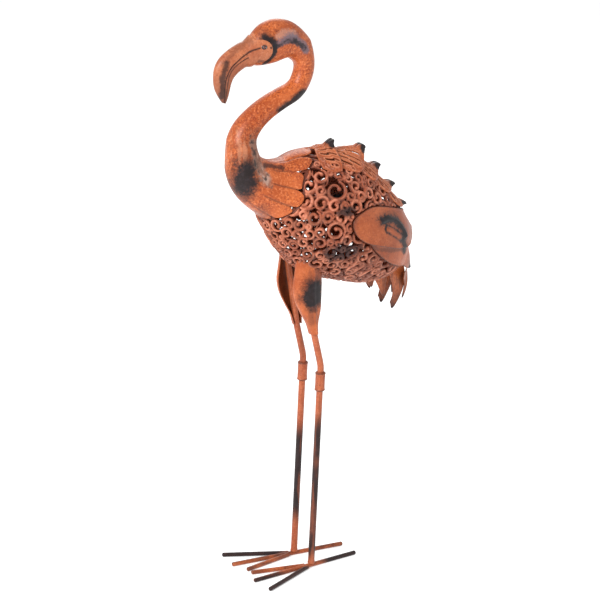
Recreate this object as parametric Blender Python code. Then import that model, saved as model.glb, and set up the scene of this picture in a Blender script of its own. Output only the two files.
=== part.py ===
"""Sheet-metal flamingo garden ornament: openwork body, hooked neck, rod legs and wire feet.

Metres, +Z up. The bird looks along -X, its left side is on -Y and its feet stand on Z = 0.
Poses and outlines are side-view points (x, z) in figure units, shares of the bird's height.
Sheet thicknesses, rod and tube diameters and clearances are lengths of their own.
"""
import math

import bmesh
import bpy
import numpy as np
from mathutils import Vector
from mathutils.geometry import delaunay_2d_cdt

# Overall figure. One figure unit is one millimetre on the bird at its real height.
HEIGHT = 0.853
FIGURE_UNITS = 853.0
UNIT = HEIGHT / FIGURE_UNITS

# Sheet, rod and tube stock, and the clearances between touching pieces.
SHEET = 0.0012
PLATE = 0.0010
GAP = 0.0003
SEAT_GAP = 0.0008
TAIL_SEAT_GAP = 0.0012
LEG_ROD_DIAMETER = 0.010
TOE_ROD_DIAMETER = 0.0065
SLEEVE_DIAMETER = 0.015
SLEEVE_LENGTH = 0.028
EYE_DIAMETER = 0.0068
EYE_RISE = 0.0016
FACE_STEP = 0.0010
MOUTH_DEPTH = 0.0016

# Body: its centre in the side view, the seam outline as offsets from it, and half its width.
BODY_CENTRE = (45, 545)
BODY_HALF_WIDTH = 70 * UNIT
BODY_OUTLINE = [
    (129, -47), (121, -15), (99, 20), (67, 58), (35, 87), (-5, 100), (-55, 103), (-91, 87),
    (-115, 58), (-119, 27), (-107, -3), (-83, -43), (-53, -73), (5, -98), (59, -111), (101, -104),
    (123, -79),
]

# Head stations from the face to the back of the crown: under point, top point, half width.
HEAD_STATIONS = [
    ((-89, 793), (-88, 828), 13.5),
    ((-78, 789), (-78, 841), 17.5),
    ((-62, 788.5), (-64, 850), 20.5),
    ((-47, 790), (-44, 853), 21.5),
    ((-36, 793), (-19, 846), 21.5),
    ((-27, 794), (3, 827), 20.0),
    ((-19, 789), (16, 805), 17.5),
]
# Neck stations down to the yoke: centre and radius.
NECK_STATIONS = [
    ((4, 777), 15.6), ((-3, 757), 15.0), ((-16, 743), 15.1), ((-37, 734), 15.8), ((-59, 724), 16.8),
    ((-79, 711), 18.0), ((-94, 696), 20.0), ((-101, 681), 22.0),
]
NECK_END = ((-102, 666), 23.6)

# Breast yoke: where its rim lies on the body, from the back round to the front, as offsets from the
# body's centre, and how strongly the sheet is pulled on at the neck and at the body, back and front.
YOKE_RIM = [
    (-31, 106), (-43, 96), (-59, 84), (-70, 67), (-71, 49), (-85, 33), (-103, 21), (-116, 16),
]
YOKE_NECK_PULL = (92, 210)
YOKE_BODY_PULL = (105, 20)
YOKE_LOBES = 5
YOKE_SLIT = 0.16
YOKE_SLIT_POWER = 1.5
YOKE_BEND = 0.008
YOKE_INNER_BEND = 0.002

# Beak stations from the cheek to the tip: under point, top point, half width.
BEAK_STATIONS = [
    ((-92, 790), (-92, 829), 14.0),
    ((-99, 787.5), (-106, 824.5), 13.2),
    ((-108, 782), (-123, 816.5), 12.2),
    ((-115, 775), (-137, 806), 11.0),
    ((-118.5, 767), (-144.5, 793), 9.6),
    ((-120.5, 759), (-146.5, 778), 8.2),
    ((-122.5, 751), (-145, 764), 6.6),
    ((-125, 744), (-139.5, 751.5), 4.6),
    ((-127.5, 739.5), (-133, 741.5), 2.4),
]
CHEEK_CENTRE = (-77.5, 813.5)
CHEEK_HALF_HEIGHT = 17

# Mouth line: its place round the beak, how far its lips reach to each side, and how it deepens
# from its share at the cheek by a share for each station, then fades where the beak is narrow.
MOUTH_ANGLE = 0
MOUTH_LIP = 6
MOUTH_START = 0.35
MOUTH_GAIN = 0.3
MOUTH_NARROW = 6

# Eye: its place in the side view, and its rings as shares of the radius and of the rise.
EYE_PLACE = (-74.5, 820)
EYE_RINGS = [(1.0, 0.0), (0.95, 0.5), (0.6, 0.9)]

# Feathers along the ridge of the back: where each curled tip lies, as a distance along the ridge.
RIDGE_START = 104
FEATHER_TIPS = (27, 76, 110, 146, 182)
FEATHER_WIDTHS = (50, 48, 45, 42, 38)
FRONT_FEATHER_SLANT = 0.42
FEATHER_OVERLAP = 13
FEATHER_CURL = 9
SHINGLE_RISE = 0.0036
RIDGE_CLEARANCE = 0.0012

# Feather's flat pattern, along the ridge and away from it. The round end is a quarter oval from these
# shares of the length and width, the tip's points are distances past the length and from the ridge,
# and the root's are shares of the length and the width with the share of the slant they take.
FEATHER_ROUND = (0.62, 0.30)
FEATHER_ROUND_POINTS = 7
FEATHER_TIP = [(3, 9), (9, 6), (11, 3.2)]
FEATHER_TIP_END = 7
FEATHER_RIDGE = (0.75, 0.4, 0.0)
FEATHER_ROOT = [(0.0, 0.45, 0.45), (0.08, 0.85, 0.85), (0.30, 0.98, 0.5)]
CURL_START = 0.86
CURL_WIDTH = 0.35

# Slots of a feather: where each starts, as shares of the length and width, its slope and its size.
FEATHER_SLOTS = [(0.22, 0.30), (0.42, 0.50), (0.20, 0.60)]
FEATHER_SLOT_ANGLE = 12
FEATHER_SLOT_LENGTH = 0.34
FEATHER_SLOT_WIDTH = 0.0030

# Plain plates of the rump, as (angle round the body centre, angle out from the side), degrees.
RUMP_UPPER = [
    (44, 20), (26, 32), (6, 52), (-1, 70), (-5, 88), (-17, 88), (-25, 66), (-30, 44), (-36, 27),
    (-52, 14), (-80, 5), (90, 6),
]
RUMP_LOWER = [
    (-33, 30), (-26, 50), (-20, 74), (-24, 88), (-37, 88), (-39, 70), (-43, 50), (-46, 38),
    (-48, 24), (-42, 16),
]
# Where each rump plate starts and has finished rising, its flared tip, the flare's reach and height.
UPPER_FLARE = ((14, 74), (-22, 60), (-16, 88), 34, 8)
LOWER_FLARE = ((-27, 50), (-41, 54), (-37, 88), 40, 22)
FLARE_POWER = 1.5
RISE_LIMIT = 1.1

# Tail feathers as offsets from the body's centre in the side view; how far each hangs from the mid
# plane at its top front corner and its tip, and the layer it lies in, counted inward.
TAIL_FEATHERS = {
    "long": ([(82, -80), (91, -105), (98, -121), (99, -139), (92, -156), (96, -149), (100, -160),
              (110, -148), (121, -124), (121, -97), (107, -81)], 32, 15, 0),
    "rear": ([(113, -99), (124, -99), (128, -111), (127, -127), (118, -148), (119, -125), (114, -111)],
             32, 15, 1),
    "middle": ([(64, -99), (72, -117), (82.5, -136), (86, -117), (88, -99)], 24, 19, 0),
    "short": ([(39, -95), (49, -105), (59, -116), (63, -105), (64, -95)], 29, 24, 0),
}
TAIL_BEND = 0.002

# Legs in the side view and the distance between them.
# Thigh stations from the body to the knee: centre, half width, room over the rod inside. The top ones
# are spread along straight lines that end at the body.
LEG_SPACING = 52
LEG_FOOT_X = 0
KNEE = (15, 297)
UPPER_ROD_BENDS = [(5, 372), (-10.5, 478)]
THIGH_STATIONS = [
    ((-4, 488), 20, 3.5),
    ((-4, 470), 22.5, 4.5),
    ((-6, 452), 23.5, 5),
    ((-5, 432), 22, 4),
    ((-1, 411), 17, 2.5),
    ((2, 391), 11, 1.4),
    ((4.5, 374), 8.2, 1.2),
]
THIGH_TOP = THIGH_STATIONS[:2]
THIGH_OPEN_FACE = 4.5
THIGH_FULLNESS = 0.7

# Toes: length and angle outward of each, and of the rear toe that runs on from the middle one.
TOE_LINE_ANGLE = 4.5
MIDDLE_TOE = 104
REAR_TOE = 82
OUTER_TOE = (110, 25.6)
INNER_TOE = (95, -12.0)

# Windows of the scrollwork: rings as (share of the way out to the seam, count), a window's size and
# how much it shrinks at the seam, its sweep in degrees, and its width at the head and the tail.
WINDOW_RINGS = [(0.0, 1), (0.26, 6), (0.50, 11), (0.72, 15), (0.90, 19)]
WINDOW_SIZE = 0.0125
WINDOW_SHRINK = 0.25
WINDOW_SWEEP = 250
WINDOW_CURL = 0.8
WINDOW_HEAD = 0.42
WINDOW_TAIL = 0.06
WINDOW_POINTS = 4

# Where no window may be: behind the rump plates and under the feathers, as a share of the way out and
# a range of degrees; under the yoke, from the body's centre; and where the thighs and rods meet the body.
PLATED_ZONE = (0.2, -60, 38)
FEATHERED_ZONE = (0.55, 0, 125)
YOKED_ZONE = (-62, 18)
SEATED_ZONE = (0.55, 30)

NECK_SIDES = 24
BEAK_SIDES = 12
EYE_SIDES = 8
SEAM_POINTS = 64
YOKE_SIDES = 2 * NECK_SIDES
YOKE_RINGS = 7
ROD_SIDES = 12
SLEEVE_SIDES = 16
TOE_SIDES = 8
THIGH_POINTS = 8
SHELL_STEP = 0.021
PLATE_STEP = 0.0125
HALVING_COUNT = 40


def catmull_rom(points, count, closed=False):
    """Smooth curve through the points, with count samples on each span."""
    points = np.array(points, float)
    total = len(points)
    samples = []
    for index in range(total if closed else total - 1):
        if closed:
            a, b, c, d = (points[(index + shift) % total] for shift in (-1, 0, 1, 2))
        else:
            b, c = points[index], points[index + 1]
            a = points[index - 1] if index else 2 * b - c
            d = points[index + 2] if index + 2 < total else 2 * c - b
        for step in range(count):
            t = step / count
            samples.append(0.5 * (2 * b + (c - a) * t + (2 * a - 5 * b + 4 * c - d) * t ** 2
                                  + (3 * b - 3 * c + d - a) * t ** 3))
    if not closed:
        samples.append(points[-1])
    return np.array(samples)


class Body:
    """Half ellipsoid-like dome on each side of the seam outline, in metres."""

    def __init__(self):
        self.centre = np.array([BODY_CENTRE[0] * UNIT, 0.0, BODY_CENTRE[1] * UNIT])
        across, up = catmull_rom(BODY_OUTLINE, 24, closed=True).T * UNIT
        angles = np.arctan2(up, across)
        order = np.argsort(angles)
        self.angles = angles[order]
        self.radii = np.hypot(across, up)[order]

    def radius(self, angle):
        """Distance from the centre to the seam at an angle in the side view."""
        return np.interp(angle, self.angles, self.radii, period=2 * math.pi)

    def level(self, points):
        """1 on the dome's surface, less inside it, more outside it."""
        offset = np.asarray(points, float) - self.centre
        flat = np.hypot(offset[..., 0], offset[..., 2])
        angle = np.arctan2(offset[..., 2], offset[..., 0])
        return np.hypot(flat / self.radius(angle), offset[..., 1] / BODY_HALF_WIDTH)

    def point(self, angle, tilt, lift, side):
        """Surface point: angle round the centre, tilt from the side (0) to the seam (90 degrees)."""
        radius = self.radius(angle)
        flat = radius * np.sin(tilt)
        across = side * BODY_HALF_WIDTH * np.cos(tilt)
        offset = np.stack([flat * np.cos(angle), across, flat * np.sin(angle)], -1)
        reach = np.linalg.norm(offset, axis=-1)
        return self.centre + offset * (1 + np.asarray(lift) / reach)[..., None]

    def push_out(self, points, lift, softness):
        """Points moved away from the centre by a soft maximum until they clear the dome by lift."""
        offset = points - self.centre
        reach = np.linalg.norm(offset, axis=-1)
        surface = reach / self.level(points)
        needed = (surface + lift) / reach
        factor = (needed + 1 + np.sqrt((needed - 1) ** 2 + softness ** 2)) / 2
        return self.centre + offset * factor[..., None]

    def distance_below(self, start, direction, lift):
        """How far a point outside travels along a direction before it is lift from the dome."""
        low, high = 0.0, 2 * BODY_HALF_WIDTH
        for _ in range(HALVING_COUNT):
            middle = (low + high) / 2
            point = start + direction * middle
            surface = np.linalg.norm(point - self.centre) / self.level(point)
            if np.linalg.norm(point - self.centre) > surface + lift:
                low = middle
            else:
                high = middle
        return low


BODY = Body()
PAINTS = {}


def paint(name, colour, roughness):
    """Painted sheet metal."""
    material = bpy.data.materials.new(name)
    material.use_nodes = True
    shader = material.node_tree.nodes["Principled BSDF"]
    shader.inputs["Base Color"].default_value = (*colour, 1)
    shader.inputs["Roughness"].default_value = roughness
    shader.inputs["Metallic"].default_value = 0.2
    material.diffuse_color = (*colour, 1)
    return material


def new_part(name, vertices, faces, material, sharp=35):
    """One closed mesh object with its faces pointing out."""
    mesh = bpy.data.meshes.new(name)
    mesh.from_pydata([tuple(map(float, vertex)) for vertex in vertices], [], faces)
    shaped = bmesh.new()
    shaped.from_mesh(mesh)
    bmesh.ops.triangulate(shaped, faces=[face for face in shaped.faces if len(face.verts) > 3])
    bmesh.ops.recalc_face_normals(shaped, faces=shaped.faces)
    shaped.to_mesh(mesh)
    shaped.free()
    mesh.shade_smooth()
    mesh.set_sharp_from_angle(angle=math.radians(sharp))
    mesh.materials.append(material)
    part = bpy.data.objects.new(name, mesh)
    bpy.context.collection.objects.link(part)
    return part


def loft(rings, start_cap=True, end_cap=True):
    """Vertices and faces of a tube through rings of equal or doubling side counts."""
    vertices, faces, first = [], [], []
    for ring in rings:
        first.append(len(vertices))
        vertices.extend(ring)
    for index in range(len(rings) - 1):
        sides, others = len(rings[index]), len(rings[index + 1])
        a, b = first[index], first[index + 1]
        for side in range(sides):
            after = (side + 1) % sides
            if others == sides:
                faces.append((a + side, a + after, b + after, b + side))
            else:
                middle = 2 * side
                faces.append((a + side, b + middle + 1, b + middle))
                faces.append((a + side, a + after, b + middle + 1))
                faces.append((a + after, b + (middle + 2) % others, b + middle + 1))
    for wanted, ring, base in ((start_cap, rings[0], first[0]), (end_cap, rings[-1], first[-1])):
        if wanted:
            hub = len(vertices)
            vertices.append(np.mean(ring, axis=0))
            faces.extend((base + side, base + (side + 1) % len(ring), hub) for side in range(len(ring)))
    return vertices, faces


def inside(points, polygon):
    """Which points lie within a closed polygon, by the even-odd rule."""
    x, y = points[:, 0], points[:, 1]
    hit = np.zeros(len(points), bool)
    for (x0, y0), (x1, y1) in zip(polygon, np.roll(polygon, -1, axis=0)):
        if y0 != y1:
            hit ^= ((y0 > y) != (y1 > y)) & (x < x0 + (y - y0) * (x1 - x0) / (y1 - y0))
    return hit


def split_edges(outline, step):
    """Outline with its long edges cut into equal parts no longer than step."""
    points = []
    outline = np.array(outline, float)
    for start, end in zip(outline, np.roll(outline, -1, axis=0)):
        parts = max(1, math.ceil(np.linalg.norm(end - start) / step - 0.2))
        points.extend(start + (end - start) * part / parts for part in range(parts))
    return np.array(points)


def pressed_sheet(name, outline, holes, step, place, material):
    """A flat pattern with holes, filled with triangles and pressed to shape.

    place takes the pattern's points and gives the sheet's two faces, which walls join at every edge.
    """
    loops = [split_edges(outline, step)] + [np.array(hole, float) for hole in holes]
    low, high = loops[0].min(axis=0), loops[0].max(axis=0)
    rows = np.arange(low[1] + step / 2, high[1], step * math.sin(math.pi / 3))
    columns = np.arange(low[0], high[0], step)
    grid = np.array([(x + (row % 2) * step / 2, y) for row, y in enumerate(rows) for x in columns])
    grid = grid.reshape(-1, 2)
    keep = inside(grid, loops[0])
    for loop in loops:
        ahead = np.roll(loop, -1, axis=0) - loop
        dense = np.concatenate([loop + ahead * part / 3 for part in range(3)])
        keep &= np.linalg.norm(grid[:, None] - dense[None], axis=-1).min(axis=1) > step / 2
    for loop in loops[1:]:
        keep &= ~inside(grid, loop)
    edges, start = [], 0
    for loop in loops:
        edges.extend((start + index, start + (index + 1) % len(loop)) for index in range(len(loop)))
        start += len(loop)
    flat = np.concatenate(loops + [grid[keep]])
    size = np.ptp(flat, axis=0).max()
    scaled = [Vector(point / size) for point in flat]
    found, _, triangles, *_ = delaunay_2d_cdt(scaled, edges, [], 0, 1e-7)
    found = np.array(found) * size
    triangles = np.array(triangles)
    centres = found[triangles].mean(axis=1)
    kept = inside(centres, loops[0])
    for loop in loops[1:]:
        kept &= ~inside(centres, loop)
    triangles = triangles[kept]
    used = np.unique(triangles)
    rename = np.full(len(found), -1)
    rename[used] = np.arange(len(used))
    triangles = rename[triangles]
    outer, inner = place(found[used])
    count = len(used)
    faces = [tuple(map(int, face)) for face in triangles]
    directed = {(face[corner], face[(corner + 1) % 3]) for face in faces for corner in range(3)}
    walls = [(a, b, b + count, a + count) for a, b in sorted(directed) if (b, a) not in directed]
    faces += [(a + count, c + count, b + count) for a, b, c in faces] + walls
    return new_part(name, np.concatenate([outer, inner]), faces, material)


def station_ring(under, top, half_width, turn, grow=0.0):
    """Oval ring between an under point and a top point in the mid plane, turn running from the top."""
    under = np.array([under[0], 0.0, under[1]]) * UNIT
    top = np.array([top[0], 0.0, top[1]]) * UNIT
    axis = (top - under) / 2
    axis = axis * (1 + grow / np.linalg.norm(axis))
    ring = (under + top) / 2 + axis * np.cos(turn)[:, None]
    ring[:, 1] = (half_width * UNIT + grow) * np.sin(turn)
    return ring


def mouth_angles():
    """Angles round the beak from its top, with the mouth line between two lips on each side."""
    mouth = 90 - MOUTH_ANGLE
    above = np.linspace(0, mouth - MOUTH_LIP, BEAK_SIDES // 4 + 1)
    below = np.linspace(mouth + MOUTH_LIP, 180, BEAK_SIDES // 4)
    half = np.concatenate([above, [mouth], below])
    turn = np.concatenate([half, 360 - half[-2:0:-1]])
    return np.radians(turn), np.isin(turn, (mouth, 360 - mouth))


def neck_rings():
    """Rings from the back of the beak over the head and down the neck."""
    centres = np.array([centre for centre, _ in NECK_STATIONS + [NECK_END]], float)
    tangents = np.gradient(centres, axis=0)
    tangents[-1] = (0, -1)
    tangents /= np.linalg.norm(tangents, axis=1)[:, None]
    stations = [np.array([*under, *top, width]) for under, top, width in HEAD_STATIONS]
    for (centre, radius), tangent in zip(NECK_STATIONS + [NECK_END], tangents):
        out = np.array([-tangent[1], tangent[0]])
        stations.append(np.array([*(centre - out * radius), *(centre + out * radius), radius]))
    turn = np.linspace(0, 2 * math.pi, NECK_SIDES, endpoint=False)
    return [station_ring(row[0:2], row[2:4], row[4], turn) for row in catmull_rom(stations, 2)]


def yoke_surface(turn, along, lift):
    """Breast sheet: leaves the neck's last ring and lies down on the body's front.

    turn runs round the neck from its back, along runs from the neck (0) to the lobes' tips (1).
    Each line is a cubic from the neck's ring to the rim with a pull at both ends.
    """
    (centre_x, centre_z), radius = NECK_END
    front = (1 - np.cos(turn)) / 2
    level = np.full_like(turn, centre_z)
    neck = np.stack([centre_x + radius * np.cos(turn), radius * np.sin(turn), level], -1)
    rim_curve = catmull_rom(YOKE_RIM, 8)
    share = np.abs((turn + math.pi) % (2 * math.pi) - math.pi) / math.pi
    place = np.linspace(0, 1, len(rim_curve))
    rim_x, rim_z = (np.interp(share, place, rim_curve[:, column]) for column in (0, 1))
    angle = np.arctan2(rim_z, rim_x)
    flat = np.hypot(rim_x, rim_z) * UNIT
    tilt = np.arcsin(np.minimum(flat / BODY.radius(angle), 1))
    side = np.where(np.sin(turn) < 0, -1.0, 1.0)
    rim = BODY.point(angle, tilt, lift, side) / UNIT
    outward = np.stack([rim_x, rim[:, 1], rim_z], -1)
    outward[:, 1] *= (np.hypot(outward[:, 0], outward[:, 2]) / (BODY_HALF_WIDTH / UNIT)) ** 2
    outward /= np.linalg.norm(outward, axis=1)[:, None]
    ahead = rim - neck
    ahead -= outward * np.sum(ahead * outward, axis=1)[:, None]
    ahead /= np.linalg.norm(ahead, axis=1)[:, None]
    down = np.array([0.0, 0.0, -1.0])
    neck_pull = (YOKE_NECK_PULL[0] + (YOKE_NECK_PULL[1] - YOKE_NECK_PULL[0]) * front)[:, None]
    body_pull = (YOKE_BODY_PULL[0] + (YOKE_BODY_PULL[1] - YOKE_BODY_PULL[0]) * front)[:, None]
    t = along[:, None]
    curve = ((2 * t ** 3 - 3 * t ** 2 + 1) * neck + (t ** 3 - 2 * t ** 2 + t) * down * neck_pull
             + (3 * t ** 2 - 2 * t ** 3) * rim + (t ** 3 - t ** 2) * ahead * body_pull)
    return BODY.push_out(curve * UNIT, lift, YOKE_BEND)


def yoke_reach(turn):
    """How far down the sheet runs at each angle: rounded lobes with slits between them."""
    share = np.abs((turn + math.pi) % (2 * math.pi) - math.pi) / math.pi
    lobe = np.abs(np.sin(share * math.pi * YOKE_LOBES + math.pi / 2))
    return 1 - YOKE_SLIT * (1 - lobe) ** YOKE_SLIT_POWER


def cheek_cutter(name, grow):
    """Prism with the cheek plate's rounded end behind and the whole beak in front, larger by grow."""
    radius = CHEEK_HALF_HEIGHT * UNIT + grow
    centre = np.array(CHEEK_CENTRE) * UNIT
    arc = [centre + radius * np.array([math.cos(turn), math.sin(turn)])
           for turn in np.linspace(-math.pi / 2, math.pi / 2, 17)]
    root_under, root_top, _ = BEAK_STATIONS[0]
    tip_under = BEAK_STATIONS[-1][0]
    back, front = root_under[0] * UNIT + grow, 2 * tip_under[0] * UNIT
    low, high = (2 * tip_under[1] - BEAK_STATIONS[-2][0][1]) * UNIT, 2 * root_top[1] * UNIT
    outline = arc + [np.array(corner) for corner in (
        (back, centre[1] + radius), (back, high), (front, high), (front, low), (back, low),
        (back, centre[1] - radius))]
    depth = 2 * HEAD_STATIONS[3][2] * UNIT
    bottom = [(x, -depth, z) for x, z in outline]
    top = [(x, depth, z) for x, z in outline]
    count = len(outline)
    faces = [tuple(range(count)), tuple(range(2 * count - 1, count - 1, -1))]
    following = [(index + 1) % count for index in range(count)]
    faces += [(index, after, after + count, index + count) for index, after in enumerate(following)]
    cutter = new_part(name, bottom + top, faces, PAINTS["face"])
    cutter.hide_render = True
    cutter.display_type = "WIRE"
    return cutter


def trim(part, cutter, operation):
    """A boolean modifier that stays on its object."""
    modifier = part.modifiers.new("trim", "BOOLEAN")
    modifier.operation = operation
    modifier.object = cutter


def build_head_and_neck():
    """Closed head and neck that open below into the hollow lobed yoke."""
    rings = neck_rings()
    turn = np.linspace(0, 2 * math.pi, YOKE_SIDES, endpoint=False)
    reach = yoke_reach(turn)
    shares = np.linspace(0, 1, YOKE_RINGS)
    outer = [yoke_surface(turn, share * reach, SEAT_GAP + SHEET) for share in shares]
    inner = []
    for share in shares[:1:-1]:
        nudge = 0.01
        here = yoke_surface(turn, share * reach, SEAT_GAP + SHEET)
        along = yoke_surface(turn, share * reach + nudge, SEAT_GAP + SHEET) - here
        across = yoke_surface(turn + nudge, share * reach, SEAT_GAP + SHEET) - here
        normal = np.cross(across, along)
        normal /= np.linalg.norm(normal, axis=1)[:, None]
        inner.append(BODY.push_out(here + normal * SHEET, SEAT_GAP, YOKE_INNER_BEND))
    ring_outer = [list(ring) for ring in outer[1:]]
    vertices, faces = loft(rings + ring_outer + [list(ring) for ring in inner])
    head = new_part("head_neck", vertices, faces, PAINTS["neck"])
    trim(head, cheek_cutter("cheek_zone_outer", GAP), "DIFFERENCE")


def build_beak():
    """Face plate and hooked beak in one piece, with the mouth line cut into both sides."""
    turn, is_mouth = mouth_angles()
    rings = [station_ring(*station, turn, FACE_STEP) for station in HEAD_STATIONS[4:0:-1]]
    for index, (under, top, half_width) in enumerate(BEAK_STATIONS):
        ring = station_ring(under, top, half_width, turn)
        depth = MOUTH_DEPTH * min(1, MOUTH_START + MOUTH_GAIN * index) * min(1, half_width / MOUTH_NARROW)
        middle = ring.mean(axis=0)
        rings.append(ring - (ring - middle) * (is_mouth * depth / (half_width * UNIT))[:, None])
    vertices, faces = loft(rings)
    beak = new_part("beak", vertices, faces, PAINTS["face"])
    trim(beak, cheek_cutter("cheek_zone_inner", 0.0), "INTERSECT")


def face_reach(x, z):
    """How far the face plate stands from the mid plane over a side-view place."""
    rows = catmull_rom([[*under, *top, wide] for under, top, wide in HEAD_STATIONS], 8) * UNIT
    across = (rows[:, 0] + rows[:, 2]) / 2
    middle = np.interp(x, across, (rows[:, 1] + rows[:, 3]) / 2)
    tall = np.interp(x, across, (rows[:, 3] - rows[:, 1]) / 2) + FACE_STEP
    wide = np.interp(x, across, rows[:, 4]) + FACE_STEP
    return wide * np.sqrt(1 - ((z - middle) / tall) ** 2)


def build_eye(name, side):
    """Small domed eye square to the cheek plate."""
    radius = EYE_DIAMETER / 2
    x, z = np.array(EYE_PLACE) * UNIT
    ahead = (face_reach(x + radius, z) - face_reach(x - radius, z)) / EYE_DIAMETER
    above = (face_reach(x, z + radius) - face_reach(x, z - radius)) / EYE_DIAMETER
    normal = np.array([-ahead, side, -above]) / math.sqrt(1 + ahead ** 2 + above ** 2)
    along = np.array([1, side * ahead, 0]) / math.hypot(1, ahead)
    up = np.cross(along, normal) * side
    centre = np.array([x, side * face_reach(x, z), z]) + normal * GAP
    turn = np.linspace(0, 2 * math.pi, EYE_SIDES, endpoint=False)[:, None]
    rings = [centre + radius * share * (along * np.cos(turn) + up * np.sin(turn)) + normal * rise * EYE_RISE
             for share, rise in EYE_RINGS]
    vertices, faces = loft(rings)
    new_part(name, vertices, faces, PAINTS["dark"])


def shell_pattern(angle, share):
    """Flat pattern of the shell: polar, with each meridian laid out near its true length."""
    radius = BODY.radius(angle)
    length = math.pi / 2 * np.sqrt((radius ** 2 + BODY_HALF_WIDTH ** 2) / 2)
    return np.stack([length * share * np.cos(angle), length * share * np.sin(angle)], -1)


def angle_pattern(points):
    """Flat pattern of points given as angle round the centre and tilt from the side, in degrees."""
    angle, tilt = np.radians(np.array(points, float)).T
    return shell_pattern(angle, tilt / (math.pi / 2))


def shell_place(pattern):
    """Angle round the body centre and tilt from the side of points of the flat pattern."""
    angle = np.arctan2(pattern[:, 1], pattern[:, 0])
    radius = BODY.radius(angle)
    length = math.pi / 2 * np.sqrt((radius ** 2 + BODY_HALF_WIDTH ** 2) / 2)
    return angle, np.minimum(np.hypot(pattern[:, 0], pattern[:, 1]) / length, 1) * math.pi / 2


def scroll_window(centre, size, turn):
    """Comma-shaped window round a curl: a crescent that tapers from its head to its tail."""
    sweep = np.linspace(0, 1, WINDOW_POINTS)
    angle = turn + math.radians(WINDOW_SWEEP) * sweep
    way = np.stack([np.cos(angle), np.sin(angle)], -1) * WINDOW_CURL
    width = size * (WINDOW_HEAD * np.sqrt(1 - sweep) + WINDOW_TAIL)
    outer = centre + way * (size + width / 2)[:, None]
    inner = centre + way * (size - width)[:, None]
    return np.concatenate([outer, inner[::-1]])


def window_allowed(angle, share):
    """Whether a place on the side of the body is clear of the yoke, the plates, feathers and thighs."""
    x, _, z = BODY.point(angle, share * math.pi / 2, 0.0, 1)
    degrees = math.degrees((angle + math.pi) % (2 * math.pi) - math.pi)
    (thigh_x, thigh_z), *_ = THIGH_STATIONS[0]
    plated = share > PLATED_ZONE[0] and PLATED_ZONE[1] < degrees < PLATED_ZONE[2]
    feathered = share > FEATHERED_ZONE[0] and FEATHERED_ZONE[1] < degrees < FEATHERED_ZONE[2]
    yoked = x / UNIT - BODY_CENTRE[0] < YOKED_ZONE[0] and z / UNIT - BODY_CENTRE[1] > YOKED_ZONE[1]
    from_thigh = math.hypot(x / UNIT - thigh_x, z / UNIT - thigh_z)
    seated = share > SEATED_ZONE[0] and from_thigh < SEATED_ZONE[1]
    return not (plated or feathered or yoked or seated)


def scroll_windows():
    """Windows in staggered rings over the side of the body."""
    windows = []
    for ring, (share, count) in enumerate(WINDOW_RINGS):
        for index in range(count):
            angle = 2 * math.pi * (index + (ring % 2) / 2) / count
            turn = angle + math.pi * (index % 2) + ring
            if window_allowed(angle, share):
                size = WINDOW_SIZE * (1 - WINDOW_SHRINK * share)
                windows.append(scroll_window(shell_pattern(angle, share), size, turn))
    return windows


def build_shell(name, side):
    """Hollow half of the body with the windows of its scrollwork."""
    turns = np.linspace(0, 2 * math.pi, SEAM_POINTS, endpoint=False)
    outline = shell_pattern(turns, 1.0)

    def place(pattern):
        angle, tilt = shell_place(pattern)
        seam = np.array([0, side * GAP / 2, 0])
        return BODY.point(angle, tilt, 0.0, side) + seam, BODY.point(angle, tilt, -SHEET, side) + seam

    pressed_sheet(name, outline, scroll_windows(), SHELL_STEP, place, PAINTS["body"])


def ridge_angle(distance):
    """Angle round the body centre of a point a distance back along the ridge."""
    angles = np.radians(np.linspace(180, -60, 481))
    radius = BODY.radius(angles)
    x, z = radius * np.cos(angles), radius * np.sin(angles)
    run = np.concatenate([[0], np.cumsum(np.hypot(np.diff(x), np.diff(z)))])
    start = np.interp(-math.radians(RIDGE_START), -angles, run)
    return np.interp(start + distance, run, angles)


def feather_outline(length, width, slant):
    """Feather in its flat pattern: straight along the ridge, with a round outer end and a narrow tip.

    The root leans forward by slant for each unit across.
    """
    bend = np.linspace(0, math.pi / 2, FEATHER_ROUND_POINTS)
    along, across = FEATHER_ROUND
    round_end = [(length * (along + (1 - along) * math.sin(turn)),
                  width * (across + (1 - across) * math.cos(turn))) for turn in bend]
    tip = [(length + ahead * UNIT, aside * UNIT) for ahead, aside in FEATHER_TIP]
    ridge = [(length + FEATHER_TIP_END * UNIT, RIDGE_CLEARANCE)]
    ridge += [(length * share, RIDGE_CLEARANCE) for share in FEATHER_RIDGE]
    root = [(length * share - slant * width * lean, width * aside) for share, aside, lean in FEATHER_ROOT]
    return round_end + tip + ridge + root


def feather_slots(length, width):
    """Slanted slots cut through a feather."""
    slots = []
    slope = math.radians(FEATHER_SLOT_ANGLE)
    along = np.array([math.cos(slope), math.sin(slope)])
    across = np.array([-along[1], along[0]]) * FEATHER_SLOT_WIDTH / 2
    for shift_along, shift_across in FEATHER_SLOTS:
        start = np.array([length * shift_along, width * shift_across])
        run = along * length * FEATHER_SLOT_LENGTH
        slots.append([start - across, start + run - across, start + run + across, start + across])
    return slots


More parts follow.
